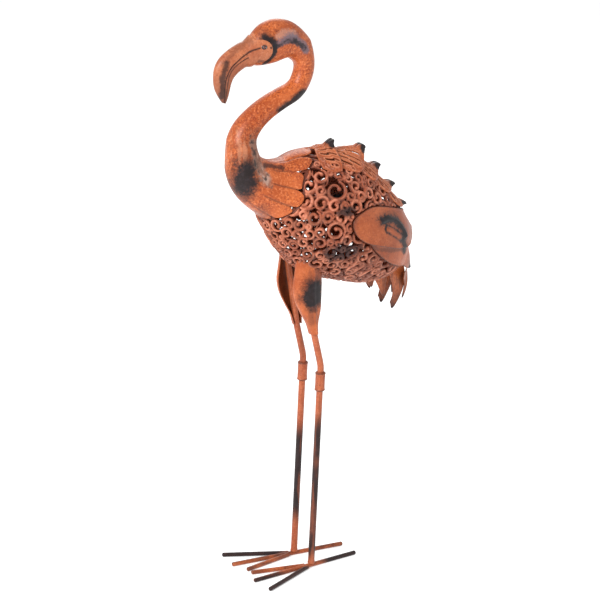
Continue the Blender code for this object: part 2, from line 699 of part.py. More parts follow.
def build_feather(name, index, side):
    """One slotted feather of the back, lying on the shell and lifting over the next one's root."""
    tip = FEATHER_TIPS[index] * UNIT
    root = (FEATHER_TIPS[index - 1] - FEATHER_OVERLAP) * UNIT if index else 0.0
    length, width = tip - root, FEATHER_WIDTHS[index] * UNIT

    def place(pattern):
        along, across = pattern[:, 0], pattern[:, 1]
        angle = ridge_angle(root + along)
        tilt = math.pi / 2 - across / BODY_HALF_WIDTH
        curled = (along - length * CURL_START) / (length * (1 - CURL_START) + FEATHER_TIP[-1][0] * UNIT)
        beside = np.clip(1 + CURL_WIDTH - across / (width * CURL_WIDTH), 0, 1)
        share = np.clip(along / (length - FEATHER_OVERLAP * UNIT), 0, 1)
        low = SEAT_GAP + SHINGLE_RISE * share ** 2
        low += FEATHER_CURL * UNIT * np.clip(curled, 0, 1) ** 1.5 * beside
        return BODY.point(angle, tilt, low + PLATE, side), BODY.point(angle, tilt, low, side)

    outline = feather_outline(length, width, 0 if index else FRONT_FEATHER_SLANT)
    pressed_sheet(name, outline, feather_slots(length, width), PLATE_STEP, place, PAINTS["feather"])


def build_rump_plate(name, outline, flare, side):
    """Plain plate over the rump, its end lifted over the plate below and flared outward at its tip."""
    smooth = catmull_rom(angle_pattern(outline), 2, closed=True)
    start, end, tip = angle_pattern(flare[:3])
    reach, height = flare[3] * UNIT, flare[4] * UNIT
    axis = (end - start) / np.dot(end - start, end - start)

    def place(flat):
        angle, tilt = shell_place(flat)
        share = np.clip((flat - start) @ axis, 0, RISE_LIMIT)
        near = np.clip(1 - np.linalg.norm(flat - tip, axis=1) / reach, 0, 1)
        low = SEAT_GAP + SHINGLE_RISE * share + height * near ** FLARE_POWER
        return BODY.point(angle, tilt, low + PLATE, side), BODY.point(angle, tilt, low, side)

    pressed_sheet(name, smooth, [], PLATE_STEP, place, PAINTS["body"])


def build_tail_feather(name, outline, hang_top, hang_tip, layer, side):
    """Drooping tail feather: a blade that draws in to the mid plane towards its tip and its rear edge."""
    points = (np.array(BODY_CENTRE) + outline) * UNIT
    (front, bottom), (rear, top) = points.min(axis=0), points.max(axis=0)
    inward = layer * (PLATE + GAP)

    def place(flat):
        share = (flat[:, 1] - bottom) / (top - bottom) * (rear - flat[:, 0]) / (rear - front)
        reach = (hang_tip + (hang_top - hang_tip) * share) * UNIT - inward
        inner = np.stack([flat[:, 0], side * reach, flat[:, 1]], -1)
        outer = inner + np.array([0, side * PLATE, 0])
        lift = TAIL_SEAT_GAP
        return BODY.push_out(outer, lift + PLATE, TAIL_BEND), BODY.push_out(inner, lift, TAIL_BEND)

    pressed_sheet(name, points, [], PLATE_STEP, place, PAINTS["feather"])


def build_thigh(name, side):
    """Pressed half shell over the leg rod, open to the inside, its top cut to the body."""
    stations = np.array([(*centre, half, room) for centre, half, room in THIGH_STATIONS]) * UNIT
    angles = np.linspace(0, math.pi, THIGH_POINTS)
    open_face = LEG_SPACING / 2 * UNIT - THIGH_OPEN_FACE * UNIT
    rod_reach = THIGH_OPEN_FACE * UNIT + LEG_ROD_DIAMETER / 2 + GAP + SHEET

    def surface(grow):
        rows = []
        for x, z, half, room in stations:
            wide, deep = half - grow, rod_reach + room - grow
            rows.append(np.stack([x - wide * np.cos(angles),
                                  side * (open_face + deep * np.sin(angles) ** THIGH_FULLNESS),
                                  np.full_like(angles, z)], -1))
        rows = np.array(rows)
        anchor = len(THIGH_TOP)
        for column in range(len(angles)):
            base = rows[anchor, column].copy()
            direction = rows[0, column] - base
            direction /= np.linalg.norm(direction)
            reach = BODY.distance_below(base, direction, SEAT_GAP)
            for row in range(anchor):
                rows[row, column] = base + direction * reach * (anchor - row) / anchor
        return rows

    outer, inner = surface(0.0), surface(SHEET)
    rows, columns = outer.shape[:2]
    count = rows * columns
    faces = []
    for row in range(rows - 1):
        for column in range(columns - 1):
            a = row * columns + column
            quad = (a, a + 1, a + columns + 1, a + columns)
            faces += [quad, tuple(corner + count for corner in quad[::-1])]
    rim = list(range(columns))
    rim += [row * columns + columns - 1 for row in range(1, rows)]
    rim += [(rows - 1) * columns + column for column in range(columns - 2, -1, -1)]
    rim += [row * columns for row in range(rows - 2, 0, -1)]
    faces += [(a, b, b + count, a + count) for a, b in zip(rim, rim[1:] + rim[:1])]
    new_part(name, np.concatenate([outer.reshape(-1, 3), inner.reshape(-1, 3)]), faces, PAINTS["thigh"])


def rod(name, points, diameter, sides, material, start_trim=None, end_trim=None, bore=0.0,
        flat_down=False):
    """Round bar through the points, with a bore if asked, or turned to lie on a flat of its sides.

    A trim gives how far a corner line runs on past its end, from the corner and the way it runs.
    """
    points = np.array(points, float)
    radius = diameter / 2 / (math.cos(math.pi / sides) if flat_down else 1.0)
    turn = np.linspace(0, 2 * math.pi, sides, endpoint=False) + (math.pi / sides if flat_down else 0)
    legs = np.diff(points, axis=0)
    legs /= np.linalg.norm(legs, axis=1)[:, None]
    across = np.cross(legs[0], (0.0, 0.0, 1.0) if flat_down else (0.0, 1.0, 0.0))
    across /= np.linalg.norm(across)
    up = np.cross(across, legs[0])
    circle = np.cos(turn)[:, None] * across + np.sin(turn)[:, None] * up
    rings = []
    for index, point in enumerate(points):
        before, after = legs[max(index - 1, 0)], legs[min(index, len(legs) - 1)]
        normal = before + after
        normal /= np.linalg.norm(normal)
        lines = point + circle * radius
        slide = -((lines - point) @ normal) / (before @ normal)
        rings.append(lines + before * slide[:, None])
    if start_trim:
        rings[0] = np.array([corner - legs[0] * start_trim(corner, -legs[0]) for corner in rings[0]])
    if end_trim:
        rings[-1] = np.array([corner + legs[-1] * end_trim(corner, legs[-1]) for corner in rings[-1]])
    if bore:
        wide = (bore / 2) / math.cos(math.pi / sides)
        hollow = [points[index] + circle * wide for index in (len(points) - 1, 0)]
        vertices, faces = loft(rings + hollow, start_cap=False, end_cap=False)
        last, total = len(vertices) - sides, sides
        faces += [(side, (side + 1) % total, last + (side + 1) % total, last + side) for side in range(total)]
    else:
        vertices, faces = loft(rings)
    return new_part(name, vertices, faces, material)


def build_leg(label, side):
    """Upper and lower rod, with the knee sleeve over their ends."""
    y = side * LEG_SPACING / 2 * UNIT
    foot = np.array([LEG_FOOT_X * UNIT, y, TOE_ROD_DIAMETER + GAP])
    knee = np.array([KNEE[0] * UNIT, y, KNEE[1] * UNIT])
    axis = (knee - foot) / np.linalg.norm(knee - foot)
    rod("leg_lower_" + label, [foot, knee - axis * GAP], LEG_ROD_DIAMETER, ROD_SIDES, PAINTS["leg"])
    kink, top = (np.array([x * UNIT, y, z * UNIT]) for x, z in UPPER_ROD_BENDS)
    bends = [knee + axis * (SLEEVE_LENGTH / 2 + LEG_ROD_DIAMETER), kink, (kink + top) / 2]

    def to_body(corner, direction):
        return BODY.distance_below(corner, direction, SEAT_GAP)

    rod("leg_upper_" + label, [knee + axis * GAP, *bends], LEG_ROD_DIAMETER, ROD_SIDES, PAINTS["leg"],
        end_trim=to_body)
    ends = [knee - axis * SLEEVE_LENGTH / 2, knee + axis * SLEEVE_LENGTH / 2]
    rod("knee_sleeve_" + label, ends, SLEEVE_DIAMETER, SLEEVE_SIDES, PAINTS["leg"],
        bore=LEG_ROD_DIAMETER + 2 * GAP)


def build_foot(label, side):
    """Long rod for the middle and rear toes, with the inner and outer toes mitred against its sides."""
    centre = np.array([LEG_FOOT_X * UNIT, side * LEG_SPACING / 2 * UNIT, TOE_ROD_DIAMETER / 2])

    def heading(degrees):
        turn = math.radians(degrees)
        return np.array([-math.cos(turn), side * math.sin(turn), 0.0])

    line = heading(TOE_LINE_ANGLE)
    ends = [centre - line * REAR_TOE * UNIT, centre + line * MIDDLE_TOE * UNIT]
    rod("toe_long_" + label, ends, TOE_ROD_DIAMETER, TOE_SIDES, PAINTS["foot"], flat_down=True)
    for name, (length, angle) in (("toe_outer_", OUTER_TOE), ("toe_inner_", INNER_TOE)):
        way = heading(angle)
        beside = np.cross(line, (0, 0, 1.0))
        beside *= np.sign(beside @ way)
        face = centre + beside * (TOE_ROD_DIAMETER / 2 / math.cos(math.pi / TOE_SIDES) + GAP)

        def to_long_toe(corner, direction, beside=beside, face=face):
            return ((face - corner) @ beside) / (direction @ beside)

        start = centre + way * TOE_ROD_DIAMETER
        rod(name + label, [start, centre + way * length * UNIT], TOE_ROD_DIAMETER, TOE_SIDES, PAINTS["foot"],
            start_trim=to_long_toe, flat_down=True)


def stand_on_centre():
    """Parent every part to an empty that puts the middle of the whole box over the origin."""
    bpy.context.view_layer.update()
    parts = [part for part in bpy.data.objects if part.type == "MESH"]
    corners = np.array([part.matrix_world @ vertex.co for part in parts if not part.hide_render
                        for vertex in part.data.vertices])
    middle = (corners.min(axis=0) + corners.max(axis=0)) / 2
    stand = bpy.data.objects.new("flamingo", None)
    bpy.context.collection.objects.link(stand)
    stand.location = (-middle[0], -middle[1], 0)
    for part in parts:
        part.parent = stand


def main():
    for old in list(bpy.data.objects):
        bpy.data.objects.remove(old, do_unlink=True)
    PAINTS.update({
        "neck": paint("coral_neck_paint", (0.68, 0.22, 0.09), 0.42),
        "face": paint("coral_face_paint", (0.55, 0.18, 0.07), 0.42),
        "dark": paint("dark_patina_paint", (0.03, 0.025, 0.03), 0.4),
        "body": paint("coral_body_paint", (0.60, 0.20, 0.09), 0.45),
        "feather": paint("coral_feather_paint", (0.50, 0.16, 0.08), 0.5),
        "thigh": paint("coral_thigh_paint", (0.62, 0.20, 0.07), 0.42),
        "leg": paint("rust_leg_paint", (0.40, 0.13, 0.06), 0.5),
        "foot": paint("brown_foot_paint", (0.28, 0.10, 0.05), 0.5),
    })
    build_head_and_neck()
    build_beak()
    for label, side in (("left", -1), ("right", 1)):
        build_eye("eye_" + label, side)
        build_shell("body_shell_" + label, side)
        for index in range(len(FEATHER_TIPS)):
            build_feather(f"back_feather_{index + 1}_{label}", index, side)
        build_rump_plate("rump_plate_upper_" + label, RUMP_UPPER, UPPER_FLARE, side)
        build_rump_plate("rump_plate_lower_" + label, RUMP_LOWER, LOWER_FLARE, side)
        for kind, (outline, hang_top, hang_tip, layer) in TAIL_FEATHERS.items():
            build_tail_feather(f"tail_feather_{kind}_{label}", outline, hang_top, hang_tip, layer, side)
        build_thigh("thigh_" + label, side)
        build_leg(label, side)
        build_foot(label, side)
    stand_on_centre()


main()
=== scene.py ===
"""The looks of the sheet-metal flamingo: filigree body, smooth forms, patina paint, floor, light, camera.

Metres, +Z up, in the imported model's frame. The bird looks along -X and its left side is on -Y.
Outlines are side-view points (x, z) in millimetres on the bird, before it is centred over the origin.
"""
import math

import bpy
import numpy as np
from bpy.props import FloatProperty, FloatVectorProperty, IntProperty, PointerProperty
from mathutils import Matrix, Vector


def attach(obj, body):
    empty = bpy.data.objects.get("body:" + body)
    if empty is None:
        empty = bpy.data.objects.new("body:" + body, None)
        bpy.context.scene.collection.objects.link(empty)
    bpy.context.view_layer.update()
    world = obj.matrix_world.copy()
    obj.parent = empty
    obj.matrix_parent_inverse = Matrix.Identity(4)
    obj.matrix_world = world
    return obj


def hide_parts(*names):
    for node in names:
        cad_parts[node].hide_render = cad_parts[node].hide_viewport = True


bl_info = {
    "name": "Flamingo garden figure",
    "version": (1, 0, 0),
    "blender": (4, 5, 0),
    "location": "View3D > Sidebar > Flamingo",
    "description": "Dresses the packed flamingo with filigree, pressed relief and patina paint",
    "category": "Object",
}

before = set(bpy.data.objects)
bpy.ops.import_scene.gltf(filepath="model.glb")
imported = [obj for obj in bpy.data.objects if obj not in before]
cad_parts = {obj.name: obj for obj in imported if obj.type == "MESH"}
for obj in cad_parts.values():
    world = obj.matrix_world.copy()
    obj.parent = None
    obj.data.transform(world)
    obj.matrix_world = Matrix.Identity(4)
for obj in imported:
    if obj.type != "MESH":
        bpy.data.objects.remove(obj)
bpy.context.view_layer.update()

MM = 0.001
SIDES = (("left", -1), ("right", 1))

# How far the bird moves along X so that the middle of its box is over the origin.
CENTRING = -0.019392

# Sheet thicknesses and clearances.
SHEET = 1.2 * MM
PLATE = 1.0 * MM
SEAT_GAP = 0.8 * MM
TAIL_SEAT_GAP = 1.2 * MM
PART_GAP = 0.3 * MM

# Body: seam outline, centre, and half the width across the wings.
BODY_CENTRE = (45, 545)
BODY_HALF_WIDTH = 70 * MM
BODY_OUTLINE = [
    (174, 498), (166, 530), (144, 565), (112, 603), (80, 632), (40, 645), (-10, 648), (-46, 632),
    (-70, 603), (-74, 572), (-62, 542), (-38, 502), (-8, 472), (50, 447), (104, 434), (146, 441),
    (168, 466),
]

# Head and neck stations, from the face round the crown and down to the yoke.
HEAD_STATIONS = [
    ((-89, 793), (-88, 828), 13.5),
    ((-78, 789), (-78, 841), 17.5),
    ((-62, 788.5), (-64, 850), 20.5),
    ((-47, 790), (-44, 853), 21.5),
    ((-36, 793), (-19, 846), 21.5),
    ((-27, 794), (3, 827), 20.0),
    ((-19, 789), (16, 805), 17.5),
]
NECK_STATIONS = [
    ((4, 777), 15.6), ((-3, 757), 15.0), ((-16, 743), 15.1), ((-37, 734), 15.8), ((-59, 724), 16.8),
    ((-79, 711), 18.0), ((-94, 696), 20.0), ((-101, 681), 22.0), ((-102, 666), 23.6),
]

# Breast yoke: half its rim from the back to the breast, how hard its lines are drawn down at the neck
# and along the body at the rim (at the back, at the breast), and its lobes, slits and creases.
YOKE_RIM = [
    (14, 651), (2, 641), (-14, 629), (-25, 612), (-26, 594), (-40, 578), (-58, 566), (-71, 561),
]
YOKE_NECK_PULL = (92, 210)
YOKE_BODY_PULL = (105, 20)
YOKE_LOBES = 5
YOKE_SLIT = 0.19
YOKE_LOBE_WIDTH = 40
YOKE_CREASE_FROM = 0.52
YOKE_CREASE_DEPTH = 0.9 * MM
YOKE_CREASE_WIDTH = 1.6
YOKE_ROWS = 40
STATION_STEPS = 10
THROAT_REACH = 14
THROAT_PASSES = 60
JOINT_REACH = (8, 5)
JOINT_PASSES = 30
FAR_AWAY = 9.0

# Beak stations from the cheek to the tip, the cheek plate and the mouth line.
BEAK_STATIONS = [
    ((-92, 790), (-92, 829), 14.0),
    ((-99, 787.5), (-106, 824.5), 13.2),
    ((-108, 782), (-123, 816.5), 12.2),
    ((-115, 775), (-137, 806), 11.0),
    ((-118.5, 767), (-144.5, 793), 9.6),
    ((-120.5, 759), (-146.5, 778), 8.2),
    ((-122.5, 751), (-145, 764), 6.6),
    ((-125, 744), (-139.5, 751.5), 4.6),
    ((-127.5, 739.5), (-133, 741.5), 2.4),
]
CHEEK_CENTRE = (-77.5, 813.5)
CHEEK_RADIUS = 17
CHEEK_RISE = 1.5 * MM
PLATE_SINK = 0.9 * MM
MOUTH_LINE = [
    (-78, 819), (-87.4, 816.6), (-94.3, 814.2), (-98.2, 812.2), (-107, 807), (-113.8, 801.7),
    (-120.4, 796.4), (-125.4, 789.6), (-128.7, 782), (-130.7, 774), (-131.3, 764.9), (-130.7, 752.6),
    (-130.2, 738),
]
LIP_LINE = [
    (-96.4, 805.6), (-103.3, 803), (-110.3, 799.6), (-115.7, 795.9), (-120.6, 791), (-124, 785.7),
    (-126.1, 780), (-127.6, 768.8), (-128.2, 757), (-129, 746),
]
MOUTH_DEPTH = 1.7 * MM
MOUTH_WIDTH = 1.1
LIP_WIDTH = 0.9
BEAK_COLUMNS = 144
BEAK_STEPS = 18

# Where in front of the cheek the face plate widens, over how far and by how much, and where on the bill
# its edge dies out and over how far.
PLATE_WIDENS = (-84, 7, 20)
PLATE_ENDS = (-99, 9)

# Eye: its place and the radius and rise of its dome, lid ring and skirt.
EYE_PLACE = (-74.5, 820)
EYE_PROFILE = [
    (0.05, 1.9), (0.9, 1.8), (1.7, 1.45), (2.2, 0.9), (2.45, 0.55), (2.9, 0.95), (3.4, 0.9), (3.9, 0.3),
    (4.2, -1.0), (0.05, -1.0),
]

# Feathers along the ridge of the back: distance to each tip, width, and the curled tip's height, where
# on the feather it starts and how suddenly it rises.
RIDGE_START = 104
FEATHER_TIPS = (27, 76, 110, 146, 182)
FEATHER_WIDTHS = (50, 48, 45, 42, 38)
FRONT_FEATHER_SLANT = 0.42
FEATHER_OVERLAP = 13
FEATHER_CURLS = ((10, 0.62, 2.4), (13.5, 0.42, 1.4), (10, 0.72, 1.5), (9, 0.72, 1.5), (8, 0.72, 1.5))
FEATHER_TIP_LENGTHS = (4, 3.0, 2.5, 2.5, 2.5)
FEATHER_BEAD = 6.5
FEATHER_BEAD_LENGTH = 8.5
FEATHER_SLOTS = (
    (0.14, 0.17, 0.34), (0.04, 0.36, 0.44), (0.56, 0.20, 0.28), (0.42, 0.40, 0.42), (0.08, 0.58, 0.44),
    (0.50, 0.64, 0.26), (0.24, 0.78, 0.30),
)
SLOT_SLOPE = math.radians(22)
SLOT_HALF_WIDTH = 1.5 * MM
FEATHER_STEP = 1.1 * MM
FEATHER_RIM = 1.8 * MM
PLATE_STEP = 1.4 * MM
PLATE_RIM = 1.4 * MM
FOLD_RISE = 4.2 * MM
FOLD_LEAF_RISE = 2.6 * MM
TAIL_RIM = 0.7 * MM
SHINGLE_RISE = 3.6 * MM
RIDGE_CLEARANCE = 1.2

# Rump plates as (angle round the body centre, angle out from the side) in degrees. A flare is where the
# plate starts and ends its slow rise, its raised tip, how far the tip's rise reaches, and its height.
RUMP_UPPER = [
    (44, 20), (26, 32), (6, 52), (-1, 70), (-5, 88), (-17, 88), (-25, 66), (-30, 44), (-36, 27),
    (-52, 14), (-80, 5), (90, 6),
]
RUMP_LOWER = [
    (-33, 30), (-26, 50), (-20, 74), (-24, 88), (-37, 88), (-39, 70), (-43, 50), (-46, 38),
    (-48, 24), (-42, 16),
]
UPPER_FLARE = ((14, 74), (-22, 60), (-16, 88), 34, 8)
LOWER_FLARE = ((-27, 50), (-41, 54), (-37, 88), 40, 22)
UPPER_FOLD = [(1, 26), (0, 33), (-6, 41), (-13, 46), (-19, 50)]
UPPER_LEAF = [(-13, 28), (-17, 34), (-21, 42)]

# Tail feathers: outline, hang at the top front corner and the tip, layer counted inward.
TAIL_FEATHERS = {
    "long": ([(127, 465), (136, 440), (143, 424), (144, 406), (137, 389), (141, 396), (145, 385),
              (155, 397), (166, 421), (166, 448), (152, 464)], 32, 15, 0),
    "rear": ([(158, 446), (169, 446), (173, 434), (172, 418), (163, 397), (164, 420), (159, 434)],
             32, 15, 1),
    "middle": ([(109, 446), (117, 428), (127.5, 409), (131, 428), (133, 446)], 24, 19, 0),
    "short": ([(84, 450), (94, 440), (104, 429), (108, 440), (109, 450)], 29, 24, 0),
}

# Legs, thighs and feet.
LEG_SPACING = 52
KNEE = (15, 297)
UPPER_ROD_BENDS = [(5, 372), (-10.5, 478)]
LEG_RADIUS = 5 * MM
TOE_RADIUS = 3.25 * MM
SLEEVE_LENGTH = 28
SLEEVE_PROFILE = [
    (-14, 5.3), (-14, 7.0), (-13.6, 7.7), (-12.4, 7.9), (-11.4, 7.5), (-6, 7.35), (0, 7.3), (6, 7.35),
    (11.4, 7.5), (12.4, 7.9), (13.6, 7.7), (14, 7.0), (14, 5.3), (0, 5.25),
]
THIGH_STATIONS = [
    ((-4, 488), 20, 3.5), ((-4, 470), 22.5, 4.5), ((-6, 452), 23.5, 5), ((-5, 432), 22, 4),
    ((-1, 411), 17, 2.5), ((2, 391), 9.6, 1.2), ((4.5, 374), 6.8, 0.8),
]
THIGH_OPEN_FACE = 4.5
THIGH_ANCHOR_ROW = 16
THIGH_RIB = 1.2 * MM
LEG_SIDES = 32
TOE_SIDES = 24
SLEEVE_SIDES = 48
FOOT_BEAD = 0.16
TOE_LINE_ANGLE = 4.5
MIDDLE_TOE = 104
REAR_TOE = 82
TOE_END = 2.5
OUTER_TOE = (110, 25.6)
INNER_TOE = (95, -12.0)

# Scrolls placed on the side of the body: (angle, tilt) in degrees, radius in millimetres,
# where the strand starts in degrees, which way it turns and how many turns it makes.
SET_SCROLLS = [
    ((111, 33), 14.0, 62, -1, 1.12), ((147, 41), 10.8, 190, 1, 1.45), ((-175, 15), 12.2, 330, 1, 1.35),
    ((160, 30), 9.4, 60, -1, 1.1), ((141, 12), 8.0, 250, 1, 1.0), ((79, 18), 9.0, 280, 1, 1.1),
    ((40, 8), 8.0, 100, 1, 1.1), ((-122, 14), 7.6, 200, -1, 1.15), ((-130, 31), 9.6, 20, 1, 1.0),
    ((-92, 25), 9.4, 160, -1, 1.05), ((-143, 66), 10.6, 80, -1, 1.35), ((-178, 59), 9.0, 330, 1, 1.2),
    ((172, 43), 8.2, 120, 1, 1.1), ((52, 36), 8.6, 210, -1, 1.15), ((79, 36), 8.0, 300, -1, 1.1),
    ((-158, 34), 9.0, 240, -1, 1.2), ((-166, 47), 8.0, 40, 1, 1.1), ((137, 55), 7.6, 10, -1, 1.15),
    ((165, 57), 8.0, 250, 1, 1.1), ((128, 22), 7.6, 30, 1, 1.0), ((-112, 45), 9.0, 300, 1, 1.2),
]

# Pointed leaves between the yoke and the feathers, and barbs under the rump, as two ends in degrees.
SET_LEAVES = [
    ((124, 80), (107, 62)), ((121, 85), (104, 67)), ((116, 87), (101, 74)), ((127, 69), (113, 55)),
    ((-82, 52), (-65, 36)), ((-74, 56), (-58, 41)), ((-67, 62), (-54, 48)), ((-61, 68), (-52, 56)),
    ((-90, 47), (-74, 34)),
]
LEAF_HALF_WIDTH = 3.4
BARBED_RADIUS = 5.5
SEAM_HALF_WIDTH = 2.6
COVER_OVERLAP = 9 * MM

# How much thicker the right shell's strands are, and how much of it goes in the window low in front.
RIGHT_SHELL_EXTRA = 0.7 * MM
RIGHT_SHELL_THINNING = 1.5 * MM
WINDOW_PLACE = (-120, 48)
WINDOW_RADIUS = 55 * MM


def side_view(x, z, y=0.0):
    """A side-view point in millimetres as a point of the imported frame, y in metres."""
    return np.array([x * MM + CENTRING, y, z * MM])


def catmull_rom(points, count, closed=False):
    """Cubic through the points: each span blends its four nearest points, sampled count times."""
    points = np.array(points, float)
    total = len(points)
    if closed:
        a, b, c, d = (np.roll(points, shift, axis=0) for shift in (1, 0, -1, -2))
    else:
        padded = np.concatenate([[2 * points[0] - points[1]], points, [2 * points[-1] - points[-2]]])
        a, b, c, d = (padded[start:start + total - 1] for start in range(4))
    t = (np.arange(count) / count)[None, :, None]
    a, b, c, d = (row[:, None, :] for row in (a, b, c, d))
    curve = 0.5 * (2 * b + (c - a) * t + (2 * a - 5 * b + 4 * c - d) * t ** 2
                   + (3 * b - 3 * c + d - a) * t ** 3)
    curve = curve.reshape(-1, points.shape[1])
    return curve if closed else np.concatenate([curve, points[-1:]])


def ease(value):
    """Smooth step from 0 at 0 to 1 at 1."""
    value = np.clip(value, 0, 1)
    return value * value * (3 - 2 * value)


def bell(value, middle, width):
    """Rounded ridge: 1 where value is middle, the exponential of minus the squared share of width away."""
    return np.exp(-((value - middle) / width) ** 2)


def polar(reach, angle):
    """Plane points at distances and angles from the origin."""
    return np.stack([reach * np.cos(angle), reach * np.sin(angle)], -1)


def segment_distance(points, start, end):
    """Distance from each point to a straight segment, and the share along it."""
    start, end = np.asarray(start, float), np.asarray(end, float)
    line = end - start
    share = np.clip((points - start) @ line / (line @ line), 0, 1)
    return np.linalg.norm(points - start - share[..., None] * line, axis=-1), share


def line_distance(points, line):
    """Distance from each point to the nearest segment of an open line."""
    return np.min([segment_distance(points, a, b)[0] for a, b in zip(line[:-1], line[1:])], axis=0)


def polygon_depth(points, polygon):
    """Distance from each point to the polygon's edge, positive inside and negative outside."""
    polygon = np.asarray(polygon, float)
    ahead = np.roll(polygon, -1, axis=0)
    near = np.full(len(points), np.inf)
    odd = np.zeros(len(points), bool)
    for (x0, y0), (x1, y1) in zip(polygon, ahead):
        near = np.minimum(near, segment_distance(points, (x0, y0), (x1, y1))[0])
        if y0 != y1:
            crosses = (y0 > points[:, 1]) != (y1 > points[:, 1])
            odd ^= crosses & (points[:, 0] < x0 + (points[:, 1] - y0) * (x1 - x0) / (y1 - y0))
    return np.where(odd, near, -near)


class Body:
    """Half ellipsoid on each side of the seam outline: a point is the centre plus the outline's radius
    times the sine of its tilt in the side view, and the half width times its cosine across."""

    def __init__(self):
        self.centre = side_view(*BODY_CENTRE)
        curve = catmull_rom(BODY_OUTLINE, 24, closed=True) * MM
        across, up = curve[:, 0] - BODY_CENTRE[0] * MM, curve[:, 1] - BODY_CENTRE[1] * MM
        angles = np.arctan2(up, across)
        order = np.argsort(angles)
        self.angles, self.radii = angles[order], np.hypot(across, up)[order]

    def radius(self, angle):
        """Distance from the centre to the seam at an angle in the side view."""
        return np.interp(angle, self.angles, self.radii, period=2 * math.pi)

    def length(self, angle):
        """Length of the flat pattern from the side of the body to the seam at an angle."""
        return math.pi / 2 * np.sqrt((self.radius(angle) ** 2 + BODY_HALF_WIDTH ** 2) / 2)

    def level(self, points):
        """1 on the surface, less inside it, more outside it."""
        offset = points - self.centre
        angle = np.arctan2(offset[..., 2], offset[..., 0])
        flat = np.hypot(offset[..., 0], offset[..., 2])
        return np.hypot(flat / self.radius(angle), offset[..., 1] / BODY_HALF_WIDTH)

    def point(self, angle, tilt, lift, side):
        """Surface point raised away from the centre by lift."""
        flat = self.radius(angle) * np.sin(tilt)
        across = side * BODY_HALF_WIDTH * np.cos(tilt)
        offset = np.stack([flat * np.cos(angle), across, flat * np.sin(angle)], -1)
        reach = np.linalg.norm(offset, axis=-1)
        return self.centre + offset * (1 + lift / reach)[..., None]

    def push_out(self, points, lift, softness):
        """Points moved away from the centre by a soft maximum until they clear the surface by lift."""
        offset = points - self.centre
        reach = np.linalg.norm(offset, axis=-1)
        needed = (reach / self.level(points) + lift) / reach
        factor = (needed + 1 + np.sqrt((needed - 1) ** 2 + softness ** 2)) / 2
        return self.centre + offset * factor[..., None]

    def pattern(self, angle, tilt):
        """Flat pattern of a surface place: polar, each meridian laid out at its length."""
        return polar(self.length(angle) * tilt / (math.pi / 2), angle)

    def pattern_degrees(self, places):
        """Flat pattern of places given as (angle, tilt) in degrees."""
        angle, tilt = np.radians(np.array(places, float)).T
        return self.pattern(angle, tilt)

    def place(self, pattern):
        """Angle and tilt of points of the flat pattern."""
        angle = np.arctan2(pattern[:, 1], pattern[:, 0])
        share = np.hypot(pattern[:, 0], pattern[:, 1]) / self.length(angle)
        return angle, np.minimum(share, 1) * math.pi / 2

    def distance_below(self, start, direction, lift):
        """How far points outside travel along directions before they are lift from the surface."""
        low, high = np.zeros(len(start)), np.full(len(start), 2 * BODY_HALF_WIDTH)
        for _ in range(30):
            middle = (low + high) / 2
            point = start + direction * middle[:, None]
            reach = np.linalg.norm(point - self.centre, axis=-1)
            outside = reach > reach / self.level(point) + lift
            low, high = np.where(outside, middle, low), np.where(outside, high, middle)
        return low


BODY = Body()


# Meshes.

def add_piece(name, vertices, faces, material, nodes=(), attributes=None, sharp=None):
    """A mesh object at the origin that rides on the bird and stands for its CAD nodes."""
    mesh = bpy.data.meshes.new(name)
    mesh.from_pydata(np.asarray(vertices).tolist(), [], [tuple(face) for face in faces])
    for key, values in (attributes or {}).items():
        layer = mesh.attributes.new(key, "FLOAT", "POINT")
        layer.data.foreach_set("value", np.asarray(values, np.float32))
    mesh.shade_smooth()
    if sharp is not None:
        mesh.set_sharp_from_angle(angle=math.radians(sharp))
    mesh.materials.append(material)
    piece = bpy.data.objects.new(name, mesh)
    bpy.context.scene.collection.objects.link(piece)
    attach(piece, "root")
    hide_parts(*nodes)
    return piece


def plane_grid(across, up):
    """Every pairing of two rows of numbers, the second running fastest."""
    return np.stack([part.ravel() for part in np.meshgrid(across, up, indexing="ij")], -1)


def lathe_faces(rows, columns):
    """Quads of a grid of rows that each close on themselves."""
    row, column = plane_grid(np.arange(rows - 1), np.arange(columns)).T
    after = (column + 1) % columns
    corners = (row * columns + column, row * columns + after,
               (row + 1) * columns + after, (row + 1) * columns + column)
    return np.stack(corners, -1)


def closed_tube(rings):
    """Vertices and faces of a tube through an array of rings, a fan closing each end."""
    rows, columns = rings.shape[:2]
    vertices = np.concatenate([rings.reshape(-1, 3), rings[0].mean(0)[None], rings[-1].mean(0)[None]])
    quads = lathe_faces(rows, columns)
    side = np.arange(columns)
    after = (side + 1) % columns
    last = (rows - 1) * columns
    start = np.stack([after, side, np.full(columns, rows * columns)], -1)
    end = np.stack([last + side, last + after, np.full(columns, rows * columns + 1)], -1)
    return vertices, [*quads.tolist(), *start.tolist(), *end.tolist()]


def outward(vertices, faces):
    """Faces turned so that the closed surface encloses a positive volume."""
    vertices = np.asarray(vertices)
    corners = np.array([face[:3] for face in faces])
    a, b, c = (vertices[corners[:, index]] for index in range(3))
    volume = np.einsum("ij,ij->", a, np.cross(b, c))
    fourth = [face for face in faces if len(face) == 4]
    if fourth:
        quads = np.array(fourth)
        a, b, c = (vertices[quads[:, index]] for index in (0, 2, 3))
        volume += np.einsum("ij,ij->", a, np.cross(b, c))
    return faces if volume > 0 else [face[::-1] for face in faces]


